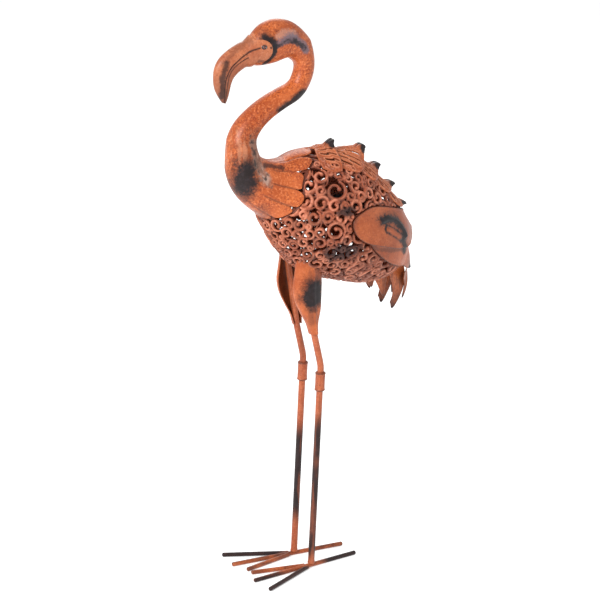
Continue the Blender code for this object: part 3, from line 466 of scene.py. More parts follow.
def cut_sheet(field, low, high, step, press):
    """A sheet with holes, cut from a flat pattern where field is positive.

    field takes pattern points and gives how deep each lies inside the sheet. A grid of triangles is cut
    along the field's zero line, press turns the pattern into the sheet's two faces, and walls join them
    along every edge. Gives vertices, faces and the pattern's points.
    """
    columns, rows = (int(math.ceil((high[axis] - low[axis]) / step)) + 1 for axis in (0, 1))
    grid = plane_grid(low[0] + np.arange(columns) * step, low[1] + np.arange(rows) * step)
    depth = field(grid)
    i, j = plane_grid(np.arange(columns - 1), np.arange(rows - 1)).T
    a, b, c, d = (i * rows + j, (i + 1) * rows + j, (i + 1) * rows + j + 1, i * rows + j + 1)
    even = ((i + j) % 2 == 0)[:, None]
    first = np.where(even, np.stack([a, b, c], -1), np.stack([a, b, d], -1))
    second = np.where(even, np.stack([a, c, d], -1), np.stack([b, c, d], -1))
    triangles = np.concatenate([first, second])
    inner = depth[triangles] > 0
    count = inner.sum(1)
    whole = triangles[count == 3]
    one, two = triangles[count == 1], triangles[count == 2]
    turn_one = np.argmax(depth[one] > 0, axis=1)
    turn_two = np.argmin(depth[two] > 0, axis=1)
    one = np.take_along_axis(one, (turn_one[:, None] + np.arange(3)) % 3, 1)
    two = np.take_along_axis(two, (turn_two[:, None] + np.arange(3)) % 3, 1)
    cuts = np.concatenate([one[:, [0, 1]], one[:, [0, 2]], two[:, [0, 1]], two[:, [0, 2]]])
    pairs, index = np.unique(np.sort(cuts, axis=1), axis=0, return_inverse=True)
    index = index.ravel() + len(grid)
    near, far = depth[pairs[:, 0]], depth[pairs[:, 1]]
    share = np.clip(near / (near - far), 0.12, 0.88)[:, None]
    points = np.concatenate([grid, grid[pairs[:, 0]] * (1 - share) + grid[pairs[:, 1]] * share])
    ones, twos = len(one), len(two)
    one_b, one_c = index[:ones], index[ones:2 * ones]
    two_b, two_c = index[2 * ones:2 * ones + twos], index[2 * ones + twos:]
    triangles = np.concatenate([
        whole,
        np.stack([one[:, 0], one_b, one_c], -1),
        np.stack([two_b, two[:, 1], two[:, 2]], -1),
        np.stack([two_b, two[:, 2], two_c], -1),
    ])
    used, renamed = np.unique(triangles, return_inverse=True)
    triangles = renamed.reshape(-1, 3)
    points = points[used]
    total = len(points)
    edges = np.concatenate([triangles[:, [0, 1]], triangles[:, [1, 2]], triangles[:, [2, 0]]])
    keys = edges[:, 0] * total + edges[:, 1]
    alone = edges[~np.isin(edges[:, 1] * total + edges[:, 0], keys)]
    walls = np.stack([alone[:, 0], alone[:, 0] + total, alone[:, 1] + total, alone[:, 1]], -1)
    outer, under = press(points)
    faces = [*triangles.tolist(), *(triangles[:, ::-1] + total).tolist(), *walls.tolist()]
    vertices = np.concatenate([outer, under])
    return vertices, outward(vertices, faces), np.concatenate([points, points])


def circle(columns):
    """Angles round a ring."""
    return np.linspace(0, 2 * math.pi, columns, endpoint=False)


# Head, neck and yoke.

def station_rings(stations, turn):
    """Oval rings: half the way from under to top point by the cosine, the half width by the sine."""
    stations = np.asarray(stations, float) * MM
    under, top, wide = stations[:, 0:2], stations[:, 2:4], stations[:, 4]
    flat = ((under + top) / 2)[:, None] + ((top - under) / 2)[:, None] * np.cos(turn)[:, None]
    across = wide[:, None] * np.sin(turn)
    return np.stack([flat[..., 0] + CENTRING, across, flat[..., 1]], -1)


def neck_stations():
    """Rows of under point, top point and half width over the head and down the neck."""
    rows = [[*under, *top, wide] for under, top, wide in HEAD_STATIONS]
    centres = np.array([centre for centre, _ in NECK_STATIONS], float)
    tangents = np.gradient(centres, axis=0)
    tangents[-1] = (0, -1)
    tangents /= np.linalg.norm(tangents, axis=1)[:, None]
    for (centre, radius), tangent in zip(NECK_STATIONS, tangents):
        out = np.array([-tangent[1], tangent[0]]) * radius
        rows.append([*(centre - out), *(centre + out), radius])
    return np.array(rows)


def half_turn(turn):
    """Share of the way from the back round either side to the breast."""
    return np.abs((turn + math.pi) % (2 * math.pi) - math.pi) / math.pi


def yoke_surface(turn, along, lift):
    """Breast sheet: each line is a cubic from the neck's last ring to the rim, pulled down at the neck
    and along the body at the rim, then pushed out until it clears the body."""
    (centre_x, centre_z), radius = NECK_STATIONS[-1]
    front = (1 - np.cos(turn)) / 2
    level = np.full_like(turn, centre_z)
    neck = np.stack([centre_x + radius * np.cos(turn), radius * np.sin(turn), level], -1)
    curve = catmull_rom(YOKE_RIM, 8)
    place = np.linspace(0, 1, len(curve))
    rim_x, rim_z = (np.interp(half_turn(turn), place, curve[:, column]) for column in (0, 1))
    angle = np.arctan2(rim_z - BODY_CENTRE[1], rim_x - BODY_CENTRE[0])
    flat = np.hypot(rim_x - BODY_CENTRE[0], rim_z - BODY_CENTRE[1]) * MM
    tilt = np.arcsin(np.minimum(flat / BODY.radius(angle), 1))
    rim = BODY.point(angle, tilt, lift, np.where(np.sin(turn) < 0, -1.0, 1.0))
    rim = (rim - [CENTRING, 0, 0]) / MM
    away = np.stack([rim_x - BODY_CENTRE[0], rim[:, 1], rim_z - BODY_CENTRE[1]], -1)
    away[:, 1] *= (np.hypot(away[:, 0], away[:, 2]) / (BODY_HALF_WIDTH / MM)) ** 2
    away /= np.linalg.norm(away, axis=1)[:, None]
    ahead = rim - neck
    ahead -= away * np.sum(ahead * away, axis=1)[:, None]
    ahead /= np.linalg.norm(ahead, axis=1)[:, None]
    down = np.stack([0.16 * np.cos(turn), 0.08 * np.sin(turn), np.full_like(turn, -1.0)], -1)
    neck_pull, body_pull = ((low + (high - low) * front)[:, None]
                            for low, high in (YOKE_NECK_PULL, YOKE_BODY_PULL))
    t = along[:, None]
    line = ((2 * t ** 3 - 3 * t ** 2 + 1) * neck + (t ** 3 - 2 * t ** 2 + t) * down * neck_pull
            + (3 * t ** 2 - 2 * t ** 3) * rim + (t ** 3 - t ** 2) * ahead * body_pull)
    return BODY.push_out(line * MM + [CENTRING, 0, 0], lift, 0.008)


def yoke_reach(turn):
    """How far down the sheet runs: rounded lobes with slits between them."""
    lobe = np.abs(np.sin(half_turn(turn) * math.pi * YOKE_LOBES + math.pi / 2))
    return 1 - YOKE_SLIT * (1 - lobe) ** 3


def slit_distance(turn, along):
    """Millimetres across the sheet from each slit's line carried inwards, growing towards the neck."""
    share = half_turn(turn) * YOKE_LOBES - 0.5
    across = np.abs(share - np.round(share)) * YOKE_LOBE_WIDTH
    return across + YOKE_LOBE_WIDTH * np.clip(YOKE_CREASE_FROM - along, 0, 1)


def soften(rings, start, end, passes):
    """Rings or points with those from start to end averaged with their neighbours, again and again."""
    for _ in range(passes):
        rings[start:end] = (rings[start - 1:end - 1] + 2 * rings[start:end] + rings[start + 1:end + 1]) / 4
    return rings


def build_neck(settings):
    """Head, neck and yoke in one closed surface: oval rings down the neck, then the lobed breast sheet,
    its rolled rim, and its inner face back up to the neck."""
    turn = circle(settings.neck_columns)
    rings = station_rings(catmull_rom(neck_stations(), STATION_STEPS), turn)
    throat = STATION_STEPS * len(HEAD_STATIONS)
    rings = list(soften(rings, throat - THROAT_REACH, throat + THROAT_REACH, THROAT_PASSES))
    reach = yoke_reach(turn)
    lift = SEAT_GAP + SHEET
    shares = np.linspace(0, 1, YOKE_ROWS + 1)[1:]
    slits = slit_distance(turn, shares[:, None] * reach)
    rises = YOKE_CREASE_DEPTH * (1 - bell(slits, 0, YOKE_CREASE_WIDTH))
    sheet = [yoke_surface(turn, share * reach, lift + rise) for share, rise in zip(shares, rises)]
    inner = []
    nudge = 0.004
    for share, surface in zip(shares[::-1][:-4], sheet[::-1]):
        along = yoke_surface(turn, share * reach + nudge, lift) - surface
        across = yoke_surface(turn + nudge, share * reach, lift) - surface
        normal = np.cross(across, along)
        normal /= np.linalg.norm(normal, axis=1)[:, None]
        inner.append(BODY.push_out(surface + normal * SHEET, SEAT_GAP, 0.002))
    joint = len(rings)
    ahead = sheet[-1] - sheet[-2]
    edge = (sheet[-1] + inner[0]) / 2 + ahead / np.linalg.norm(ahead, axis=1)[:, None] * SHEET * 0.4
    before, after = JOINT_REACH
    rings = np.array(rings + sheet + [edge] + inner)
    rings = soften(rings, joint - before, joint + after, JOINT_PASSES)
    vertices, faces = closed_tube(rings)
    crease = np.full(len(vertices), FAR_AWAY)
    crease[joint * len(turn):(joint + YOKE_ROWS) * len(turn)] = slits.ravel()
    add_piece("head_neck_skin", vertices, outward(vertices, faces), neck_paint(settings),
              ["head_neck"], attributes={"crease": crease})


def plate_depth(side):
    """How far side-view points lie inside the face plate: round behind, and widening in front of the
    cheek until it takes in the whole beak."""
    behind = side[..., 0] - CHEEK_CENTRE[0]
    above = side[..., 1] - CHEEK_CENTRE[1]
    start, run, most = PLATE_WIDENS
    beside = CHEEK_RADIUS - np.abs(above) + most * ease((start - side[..., 0]) / run)
    return np.where(behind > 0, CHEEK_RADIUS - np.hypot(behind, above), beside)


def build_beak(settings):
    """Face plate and bill: the same oval rings a little larger over the cheek, sunk below the head outside
    the plate's round outline, with a groove along each mouth line and a lip beside it."""
    turn = circle(BEAK_COLUMNS)
    cheek = np.array([[*under, *top, wide] for under, top, wide in HEAD_STATIONS[4:0:-1]])
    bill = np.array([[*under, *top, wide] for under, top, wide in BEAK_STATIONS])
    rings = station_rings(catmull_rom(np.concatenate([cheek, bill]), BEAK_STEPS), turn)
    side = np.stack([(rings[..., 0] - CENTRING) / MM, rings[..., 2] / MM], -1)
    away = rings - rings.mean(1, keepdims=True)
    radius = np.linalg.norm(away, axis=-1)
    away /= radius[..., None]
    lift = ease(plate_depth(side) / 1.8 + 0.3) * (CHEEK_RISE + PLATE_SINK) - PLATE_SINK
    end, run = PLATE_ENDS
    lift = lift * ease((side[..., 0] - end) / run)
    flat = side.reshape(-1, 2)
    mouth, lip = (line_distance(flat, catmull_rom(line, 4)).reshape(side.shape[:2])
                  for line in (MOUTH_LINE, LIP_LINE))
    strength = np.clip(radius.min(1) / (7 * MM), 0.2, 1)[:, None] * np.abs(away[..., 1]) ** 0.5
    groove = (bell(mouth, 0, MOUTH_WIDTH) + 0.7 * bell(lip, 0, LIP_WIDTH)) * MOUTH_DEPTH
    brow = bell(mouth, 3.0, 1.4) * 0.45 * MM
    rings = rings + away * (lift + (brow - groove) * strength)[..., None]
    dark = np.where(np.abs(away[..., 1]) > 0.25, np.minimum(mouth, lip + 0.2), FAR_AWAY)
    vertices, faces = closed_tube(rings)
    add_piece("beak_skin", vertices, outward(vertices, faces), face_paint(settings), ["beak"],
              attributes={"mouth": np.concatenate([dark.ravel(), [FAR_AWAY, FAR_AWAY]])})


def face_reach(x, z):
    """How far the face plate stands from the mid plane over a side-view place."""
    rows = catmull_rom(neck_stations()[:7], 8) * MM
    across = (rows[:, 0] + rows[:, 2]) / 2
    middle = np.interp(x, across, (rows[:, 1] + rows[:, 3]) / 2)
    tall = np.interp(x, across, (rows[:, 3] - rows[:, 1]) / 2) + CHEEK_RISE
    wide = np.interp(x, across, rows[:, 4]) + CHEEK_RISE
    return wide * np.sqrt(1 - ((z - middle) / tall) ** 2)


def build_eyes():
    """Domed eyes in a raised lid ring: a profile of radius and rise turned about the plate's normal."""
    material = eye_paint()
    profile = catmull_rom(EYE_PROFILE, 3) * MM
    sides = 32
    turn = circle(sides)[:, None]
    x, z = np.array(EYE_PLACE) * MM
    nudge = 3 * MM
    ahead = (face_reach(x + nudge, z) - face_reach(x - nudge, z)) / (2 * nudge)
    above = (face_reach(x, z + nudge) - face_reach(x, z - nudge)) / (2 * nudge)
    for label, side in SIDES:
        normal = np.array([-ahead, side, -above]) / math.sqrt(1 + ahead ** 2 + above ** 2)
        along = np.array([1, side * ahead, 0]) / math.hypot(1, ahead)
        up = np.cross(along, normal) * side
        middle = np.array([x + CENTRING, side * face_reach(x, z), z])
        rings = middle + (profile[:, 0, None, None] * (1.25 * along * np.cos(turn) + up * np.sin(turn))
                          + profile[:, 1, None, None] * normal)
        vertices, faces = closed_tube(rings)
        radius = np.concatenate([np.repeat(profile[:, 0] / MM, sides), [0, 0]])
        add_piece("eye_dome_" + label, vertices, outward(vertices, faces), material,
                  ["eye_" + label], attributes={"rise": radius})


# Filigree shells.

def pack_scrolls(settings):
    """Scrolls that fill the flat pattern, each touching an earlier one, a leaf or the seam: the set ones
    first, then again and again the widest place left, no wider than the size wanted there. Rows are
    centre, radius, start angle, hand and turns; a filler's strand starts where its circle touches."""
    spacing = 1.5 * MM
    reach = BODY.radii.max() * 1.3
    axis = np.arange(-reach, reach, spacing)
    grid = plane_grid(axis, axis)
    angle = np.arctan2(grid[:, 1], grid[:, 0])
    room = BODY.length(angle) - np.hypot(grid[:, 0], grid[:, 1]) - 1.0 * MM
    touched = np.degrees(angle)
    scrolls = []

    def take(centre, radius):
        away = np.linalg.norm(grid - centre, axis=1) - radius
        way = np.degrees(np.arctan2(centre[1] - grid[:, 1], centre[0] - grid[:, 0]))
        touched[away < room] = way[away < room]
        np.minimum(room, away, out=room)

    for ends in SET_LEAVES:
        start, end = BODY.pattern_degrees(ends)
        for share in np.linspace(0, 1, 9):
            radius = 2.4 * MM * math.sin(math.pi * (0.1 + 0.8 * share))
            take(start + (end - start) * share, radius)
    for place, radius, start, hand, turns in SET_SCROLLS:
        centre = BODY.pattern_degrees([place])[0]
        scrolls.append((*centre, radius * MM, math.radians(start), hand, turns))
        take(centre, radius * MM)
    dice = np.random.default_rng(settings.scroll_seed)
    wanted = (9.0 + 2.2 * np.sin(grid[:, 0] * 47 + 1) * np.cos(grid[:, 1] * 53)) * MM
    chance = dice.random(len(grid))
    while True:
        fits = room >= wanted
        score = np.where(fits, 10 - (room - wanted) / MM + 0.5 * chance, room / MM / 10)
        best = int(np.argmax(score))
        if room[best] < settings.smallest_scroll:
            return np.array(scrolls)
        radius = min(room[best], wanted[best] * 1.06)
        turns = 0.95 + 0.45 * (chance[best] * 13 % 1) * min(1, radius / (9 * MM))
        hand = 1 if chance[best] * 7 % 1 > 0.5 else -1
        scrolls.append((*grid[best], radius, math.radians(touched[best]), hand, turns))
        take(grid[best], radius)


def scroll_strands(settings):
    """Samples of every strand: place, half width and lift.

    A scroll is a spiral whose radius stays near its circle's for the first part of its turns, then draws
    in to a round bud. A larger scroll has two barbs, which leave its strand and run out to a point. A
    leaf is a straight strand that swells in its middle. The seam is a strand too.
    """
    places, widths, lifts = [], [], []

    def add(place, width, lift):
        places.append(place)
        widths.append(width)
        lifts.append(np.full(len(place), lift * MM))

    for number, (x, y, radius, start, hand, turns) in enumerate(pack_scrolls(settings)):
        half = settings.strand_width / 2 * (0.66 + 0.34 * min(1, radius / (10 * MM)))
        ring = radius - half + 1.5 * MM
        t = np.linspace(0, 1, int(2 * math.pi * turns * radius / (0.45 * MM)))
        draw = ease((t * turns - 0.48) / (turns - 0.40))
        swell = (1 - 0.34 * draw) * (0.60 + 0.40 * ease(t * 5)) * (1 + 0.12 * np.sin(t * 7 + number))
        spiral = [x, y] + polar(ring * (1 - 0.70 * draw), start + hand * 2 * math.pi * turns * t)
        lift = 0.5 * (number * 5 % 3)
        add(spiral, half * swell, lift)
        add(spiral[-1:], np.array([half * 1.15]), lift + 0.3)
        for barb in range(2 if radius > BARBED_RADIUS * MM else 0):
            t = np.linspace(0, 1, 40)
            reach = ring + (0.15 + 0.60 * t) * radius * (1 - 0.3 * barb)
            leaves_at = 2 * math.pi * (0.24 + 0.41 * barb + 0.05 * (number % 3))
            spur = [x, y] + polar(reach, start + hand * (leaves_at + 0.85 * t))
            add(spur, half * 0.62 * (1 - 0.72 * t), 0.3 * ((number + barb) % 3) - 0.6)
    t = np.linspace(0, 1, 60)
    for number, ends in enumerate(SET_LEAVES):
        start, end = BODY.pattern_degrees(ends)
        bow = np.array([start[1] - end[1], end[0] - start[0]]) * 0.08
        leaf = start + (end - start) * t[:, None] + bow * np.sin(np.pi * t)[:, None]
        add(leaf, LEAF_HALF_WIDTH * MM * (0.25 + 0.75 * np.sin(np.pi * t ** 0.7)), 0.4 * (number % 3))
    turn = circle(2400)
    rim = BODY.pattern(turn, np.full_like(turn, math.pi / 2))
    seam = rim * (1 - 1.2 * MM / np.linalg.norm(rim, axis=1))[:, None]
    add(seam, np.full(len(turn), SEAM_HALF_WIDTH * MM), 0.0)
    return np.concatenate(places), np.concatenate(widths), np.concatenate(lifts)


def stamp_strands(settings, low, step, columns, rows):
    """Depth inside the strands and relief over them on the pattern's grid.

    The depth is the greatest of half width less distance. The relief is the greatest of each strand's
    lift plus a round profile, so that one strand passes over another.
    """
    places, widths, lifts = scroll_strands(settings)
    span = int(math.ceil(widths.max() / step)) + 2
    reach = np.arange(-span, span + 1)
    depth = np.full(columns * rows, -1.0)
    relief = np.full(columns * rows, -1.0)
    nearest = np.round((places - low) / step).astype(int)
    for shift in plane_grid(reach, reach):
        cell = nearest + shift
        valid = ((cell >= 0) & (cell < [columns, rows])).all(1)
        cell, half = cell[valid], widths[valid]
        away = np.linalg.norm(low + cell * step - places[valid], axis=1)
        index = cell[:, 0] * rows + cell[:, 1]
        np.maximum.at(depth, index, half - away)
        crown = np.clip(1 - (away / half) ** 2, 0, 1)
        height = np.where(away < half, lifts[valid] + settings.strand_relief * crown, -1.0)
        np.maximum.at(relief, index, height)
    return depth, relief


def joined(open_cells):
    """The largest connected part of a mask on a grid: every open cell is numbered, and the greater
    number is swept along the rows and columns, both ways, until nothing changes."""
    label = np.where(open_cells, np.arange(1, open_cells.size + 1).reshape(open_cells.shape), 0)
    before = np.zeros_like(label)
    while (label != before).any():
        before = label.copy()
        for turned in (label, label[::-1], label.T, label.T[::-1]):
            for row, after in zip(turned[:-1], turned[1:]):
                np.maximum(row, after, out=after, where=(row > 0) & (after > 0))
    values, counts = np.unique(label[label > 0], return_counts=True)
    return label == values[np.argmax(counts)]


def sample_grid(values, points, low, step, rows, columns):
    """Values of a grid at pattern points, blended from the four nearest."""
    place = (points - low) / step
    cell = np.clip(np.floor(place).astype(int), 0, [columns - 2, rows - 2])
    share = place - cell
    base = cell[:, 0] * rows + cell[:, 1]
    lower = values[base] * (1 - share[:, 1]) + values[base + 1] * share[:, 1]
    upper = values[base + rows] * (1 - share[:, 1]) + values[base + rows + 1] * share[:, 1]
    return lower * (1 - share[:, 0]) + upper * share[:, 0]


def cover_depth(points):
    """How far pattern points lie under the yoke, the rump plates or the feathers, in metres."""
    angle, tilt = BODY.place(points)
    spot = BODY.point(angle, tilt, 0.0, 1)
    side = np.stack([(spot[:, 0] - CENTRING) / MM, spot[:, 2] / MM], -1)
    yoke = [(60, 700), (14, 660), *YOKE_RIM, (-71, 540), (-160, 540), (-160, 700)]
    depths = [polygon_depth(side, yoke) * MM]
    for outline in (RUMP_UPPER, RUMP_LOWER):
        depths.append(polygon_depth(points, catmull_rom(BODY.pattern_degrees(outline), 3, closed=True)))
    across = (math.pi / 2 - tilt) * BODY_HALF_WIDTH
    run = ridge_distance(angle)
    on_ridge = (run > -2 * MM) & (run < FEATHER_TIPS[-1] * MM)
    depths.append(np.where(on_ridge, np.minimum(34 * MM - across, run + 8 * MM), -1.0))
    return np.max(depths, axis=0)


def build_shells(settings):
    """Openwork half shells: the strands' depth cuts the flat pattern and their relief raises it."""
    step = settings.shell_step
    reach = BODY.length(BODY.angles).max() + 2 * step
    low = np.array([-reach, -reach])
    columns = rows = int(math.ceil(2 * reach / step)) + 1
    depth, relief = stamp_strands(settings, low, step, columns, rows)
    grid = plane_grid(low[0] + np.arange(columns) * step, low[1] + np.arange(rows) * step)
    edge = BODY.length(np.arctan2(grid[:, 1], grid[:, 0])) - np.hypot(grid[:, 0], grid[:, 1])
    under = cover_depth(grid)
    depth = np.minimum(np.minimum(depth, edge), COVER_OVERLAP - under)
    kept = joined((depth > 0).reshape(columns, rows)).ravel()
    depth = np.where(kept | (depth <= 0), depth, -0.4 * step)
    relief = np.clip(relief, 0, None) * ease(-under / (3 * MM)) * ease(edge / (3 * MM))
    window = np.linalg.norm(grid - BODY.pattern_degrees([WINDOW_PLACE]), axis=1) / WINDOW_RADIUS
    extra = RIGHT_SHELL_EXTRA - RIGHT_SHELL_THINNING * (1 - ease(window * 2 - 1))
    material = body_paint(settings)
    for label, side in SIDES:
        def field(points):
            return depth + (extra if side > 0 else 0)

        def press(points):
            angle, tilt = BODY.place(points)
            lift = sample_grid(relief, points, low, step, rows, columns)
            return BODY.point(angle, tilt, lift, side), BODY.point(angle, tilt, -SHEET, side)

        vertices, faces, pattern = cut_sheet(field, low, low + (columns - 1.5) * step, step, press)
        height = sample_grid(relief, pattern, low, step, rows, columns) / MM
        # The inner half, the shell's inner face, is marked -1, and the paint puts painted shade there.
        height[len(height) // 2:] = -1
        add_piece("filigree_" + label, vertices, faces, material, ["body_shell_" + label],
                  attributes={"height": height})


# Feathers, plates and tail.

def ridge_run():
    """Angles down the ridge of the back and the distance run to each."""
    angles = np.radians(np.linspace(180, -60, 481))
    radius = BODY.radius(angles)
    x, z = radius * np.cos(angles), radius * np.sin(angles)
    run = np.concatenate([[0], np.cumsum(np.hypot(np.diff(x), np.diff(z)))])
    return angles, run - np.interp(-math.radians(RIDGE_START), -angles, run)


def ridge_angle(distance):
    """Angle round the body centre of a point a distance back along the ridge."""
    angles, run = ridge_run()
    return np.interp(distance, run, angles)


def ridge_distance(angle):
    """Distance back along the ridge of an angle round the body centre."""
    angles, run = ridge_run()
    return np.interp(-angle, -angles, run, left=-1.0, right=1.0)


def cut_outline(outline, step, press, slots=None):
    """A sheet cut to an outline of its flat pattern, less any slots."""
    def field(points):
        depth = polygon_depth(points, outline)
        return np.minimum(depth, slots(points) - SLOT_HALF_WIDTH) if slots else depth

    return cut_sheet(field, outline.min(0) - MM, outline.max(0) + MM, step, press)


def plate_faces(angle, tilt, low, raised, side):
    """Outer and inner face of a plate that lies low over the body, its outer face raised further."""
    return BODY.point(angle, tilt, low + PLATE + raised, side), BODY.point(angle, tilt, low, side)


def feather_outline(length, width, slant, tip_length):
    """Feather in its flat pattern: straight along the ridge, round at its outer end, curled at its tip."""
    end = [(length * (0.62 + 0.38 * math.sin(turn)), width * (0.30 + 0.70 * math.cos(turn)))
           for turn in np.linspace(0, math.pi / 2, 9)]
    tip = [(length + tip_length * share, across * MM)
           for share, across in ((0.2, 7.5), (0.55, 6.4), (0.85, 5.2), (0.97, 3.6), (1.0, 1.6))]
    ridge = [(length + 0.96 * tip_length, RIDGE_CLEARANCE * MM), (0.0, RIDGE_CLEARANCE * MM)]
    root = [(-slant * width * 0.45, width * 0.45), (length * 0.08 - slant * width * 0.85, width * 0.85),
            (length * 0.30 - slant * width * 0.5, width * 0.98)]
    return np.array(end + tip + ridge + root)


def slot_lines(length, width):
    """Ends of a feather's slanted slots in its flat pattern."""
    way = np.array([math.cos(SLOT_SLOPE), math.sin(SLOT_SLOPE)]) * length
    starts = [(np.array([length * along, width * across]), run) for along, across, run in FEATHER_SLOTS]
    return [(start, start + way * run) for start, run in starts]


def build_feathers(settings):
    """Back feathers: the outline less slanted slots, pressed on the back with raised rims, a rib beside
    the ridge and a curled tip."""
    material = feather_paint(settings)
    for index, (tip_run, width) in enumerate(zip(FEATHER_TIPS, FEATHER_WIDTHS)):
        root = (FEATHER_TIPS[index - 1] - FEATHER_OVERLAP) * MM if index else 0.0
        length, width = tip_run * MM - root, width * MM
        tip_length = FEATHER_TIP_LENGTHS[index] * MM
        curl, curl_start, curl_power = FEATHER_CURLS[index]
        outline = feather_outline(length, width, 0 if index else FRONT_FEATHER_SLANT, tip_length)
        slots = slot_lines(length, width)

        def slot_distance(points):
            return np.min([segment_distance(points, a, b)[0] for a, b in slots], axis=0)

        for label, side in SIDES:
            def press(points):
                along, across = points[:, 0], points[:, 1]
                curled = (along - length * curl_start) / (length * (1 - curl_start) + tip_length)
                beside = np.clip(1.35 - across / (width * 0.35), 0, 1)
                share = np.clip(along / (length - FEATHER_OVERLAP * MM), 0, 1)
                low = SEAT_GAP + SHINGLE_RISE * share ** 2
                low = low + curl * MM * np.clip(curled, 0, 1) ** curl_power * beside
                rim = bell(polygon_depth(points, outline), 1.9 * MM, 1.3 * MM)
                raised = FEATHER_RIM * np.maximum(rim, bell(slot_distance(points), 2.8 * MM, 1.0 * MM))
                beyond = along - length + FEATHER_BEAD_LENGTH * MM
                beyond = beyond / (tip_length + (FEATHER_BEAD_LENGTH + 0.2) * MM)
                bead = np.sqrt(np.clip(1 - (2 * beyond - 1) ** 2, 0, 1))
                bead = bead * np.clip(1.6 - across / (8 * MM), 0, 1)
                raised = np.maximum(raised, bead * FEATHER_BEAD * MM)
                tilt = math.pi / 2 - across / BODY_HALF_WIDTH
                return plate_faces(ridge_angle(root + along), tilt, low, raised, side)

            vertices, faces, pattern = cut_outline(outline, FEATHER_STEP, press, slot_distance)
            beside = np.clip(pattern[:, 1] / (9 * MM) - 1, 0, 9)
            tipness = (pattern[:, 0] - length + 10 * MM) / (9 * MM) - beside
            # The groove attribute, the distance to the nearest slot, carries the painted shade along the
            # slots and the painted highlight on their rims.
            add_piece(f"feather_{index + 1}_{label}", vertices, faces, material,
                      [f"back_feather_{index + 1}_{label}"],
                      attributes={"tip": tipness, "groove": slot_distance(pattern) / MM})


def build_plates(settings):
    """Rump plates: smooth outlines pressed on the body, lifted towards their ends and flared at the tip,
    the upper one with a folded crease."""
    material = plate_paint(settings)
    fold, leaf = (catmull_rom(BODY.pattern_degrees(line), 6) for line in (UPPER_FOLD, UPPER_LEAF))
    for kind, outline, flare in (("upper", RUMP_UPPER, UPPER_FLARE), ("lower", RUMP_LOWER, LOWER_FLARE)):
        smooth = catmull_rom(BODY.pattern_degrees(outline), 10, closed=True)
        start, end, tip = BODY.pattern_degrees(flare[:3])
        reach, height = flare[3] * MM, flare[4] * MM
        axis = (end - start) / np.dot(end - start, end - start)
        is_upper = kind == "upper"
        for label, side in SIDES:
            def press(points):
                angle, tilt = BODY.place(points)
                share = np.clip((points - start) @ axis, 0, 1.1)
                near = np.clip(1 - np.linalg.norm(points - tip, axis=1) / reach, 0, 1)
                low = SEAT_GAP + SHINGLE_RISE * share + height * near ** 1.5
                raised = PLATE_RIM * bell(polygon_depth(points, smooth), 1.6 * MM, 1.25 * MM)
                if is_upper:
                    raised = raised + FOLD_RISE * bell(line_distance(points, fold), 0, 3.4 * MM)
                    raised = raised + FOLD_LEAF_RISE * bell(line_distance(points, leaf), 0, 2.6 * MM)
                return plate_faces(angle, tilt, low, raised, side)

            vertices, faces, pattern = cut_outline(smooth, PLATE_STEP, press)
            if is_upper:
                leafward = line_distance(pattern, leaf) / MM
                foldward = line_distance(pattern, fold) / MM
                dark = np.minimum(1.1 - foldward / 9, leafward / 3.4 - 0.3)
                dark = np.maximum(dark, 0.75 - np.abs(leafward - 4.4) / 2.6)
            else:
                dark = 1 - np.linalg.norm(pattern - tip, axis=1) / (15 * MM)
            # The inside attribute, the depth within the outline, carries the painted shade along the plates'
            # edges.
            add_piece(f"rump_{kind}_{label}", vertices, faces, material,
                      [f"rump_plate_{kind}_{label}"],
                      attributes={"dark": dark, "inside": polygon_depth(pattern, smooth) / MM})


def build_tail(settings):
    """Tail feathers: drooping blades that draw in to the mid plane, with a pressed rib round the edge."""
    material = tail_paint(settings)
    for kind, (outline, hang_top, hang_tip, layer) in TAIL_FEATHERS.items():
        polygon = np.array(outline, float) * MM
        (front, bottom), (rear, top) = polygon.min(0), polygon.max(0)
        inward = layer * (PLATE + PART_GAP)
        smooth = catmull_rom(polygon, 3, closed=True)
        for label, side in SIDES:
            def press(points):
                share = (points[:, 1] - bottom) / (top - bottom) * (rear - points[:, 0]) / (rear - front)
                reach = (hang_tip + (hang_top - hang_tip) * share) * MM - inward
                rib = TAIL_RIM * bell(polygon_depth(points, smooth), 1.5 * MM, 1.0 * MM)
                inner = np.stack([points[:, 0] + CENTRING, side * reach, points[:, 1]], -1)
                outer = inner + [0, side, 0] * (PLATE + rib)[:, None]
                return (BODY.push_out(outer, TAIL_SEAT_GAP + PLATE, 0.002),
                        BODY.push_out(inner, TAIL_SEAT_GAP, 0.002))

            vertices, faces, pattern = cut_outline(smooth, FEATHER_STEP, press)
            tipness = 1 - (pattern[:, 1] - bottom) / (0.45 * (top - bottom))
            add_piece(f"tail_{kind}_{label}", vertices, faces, material,
                      [f"tail_feather_{kind}_{label}"], attributes={"tip": tipness})


# Thighs, legs and feet.

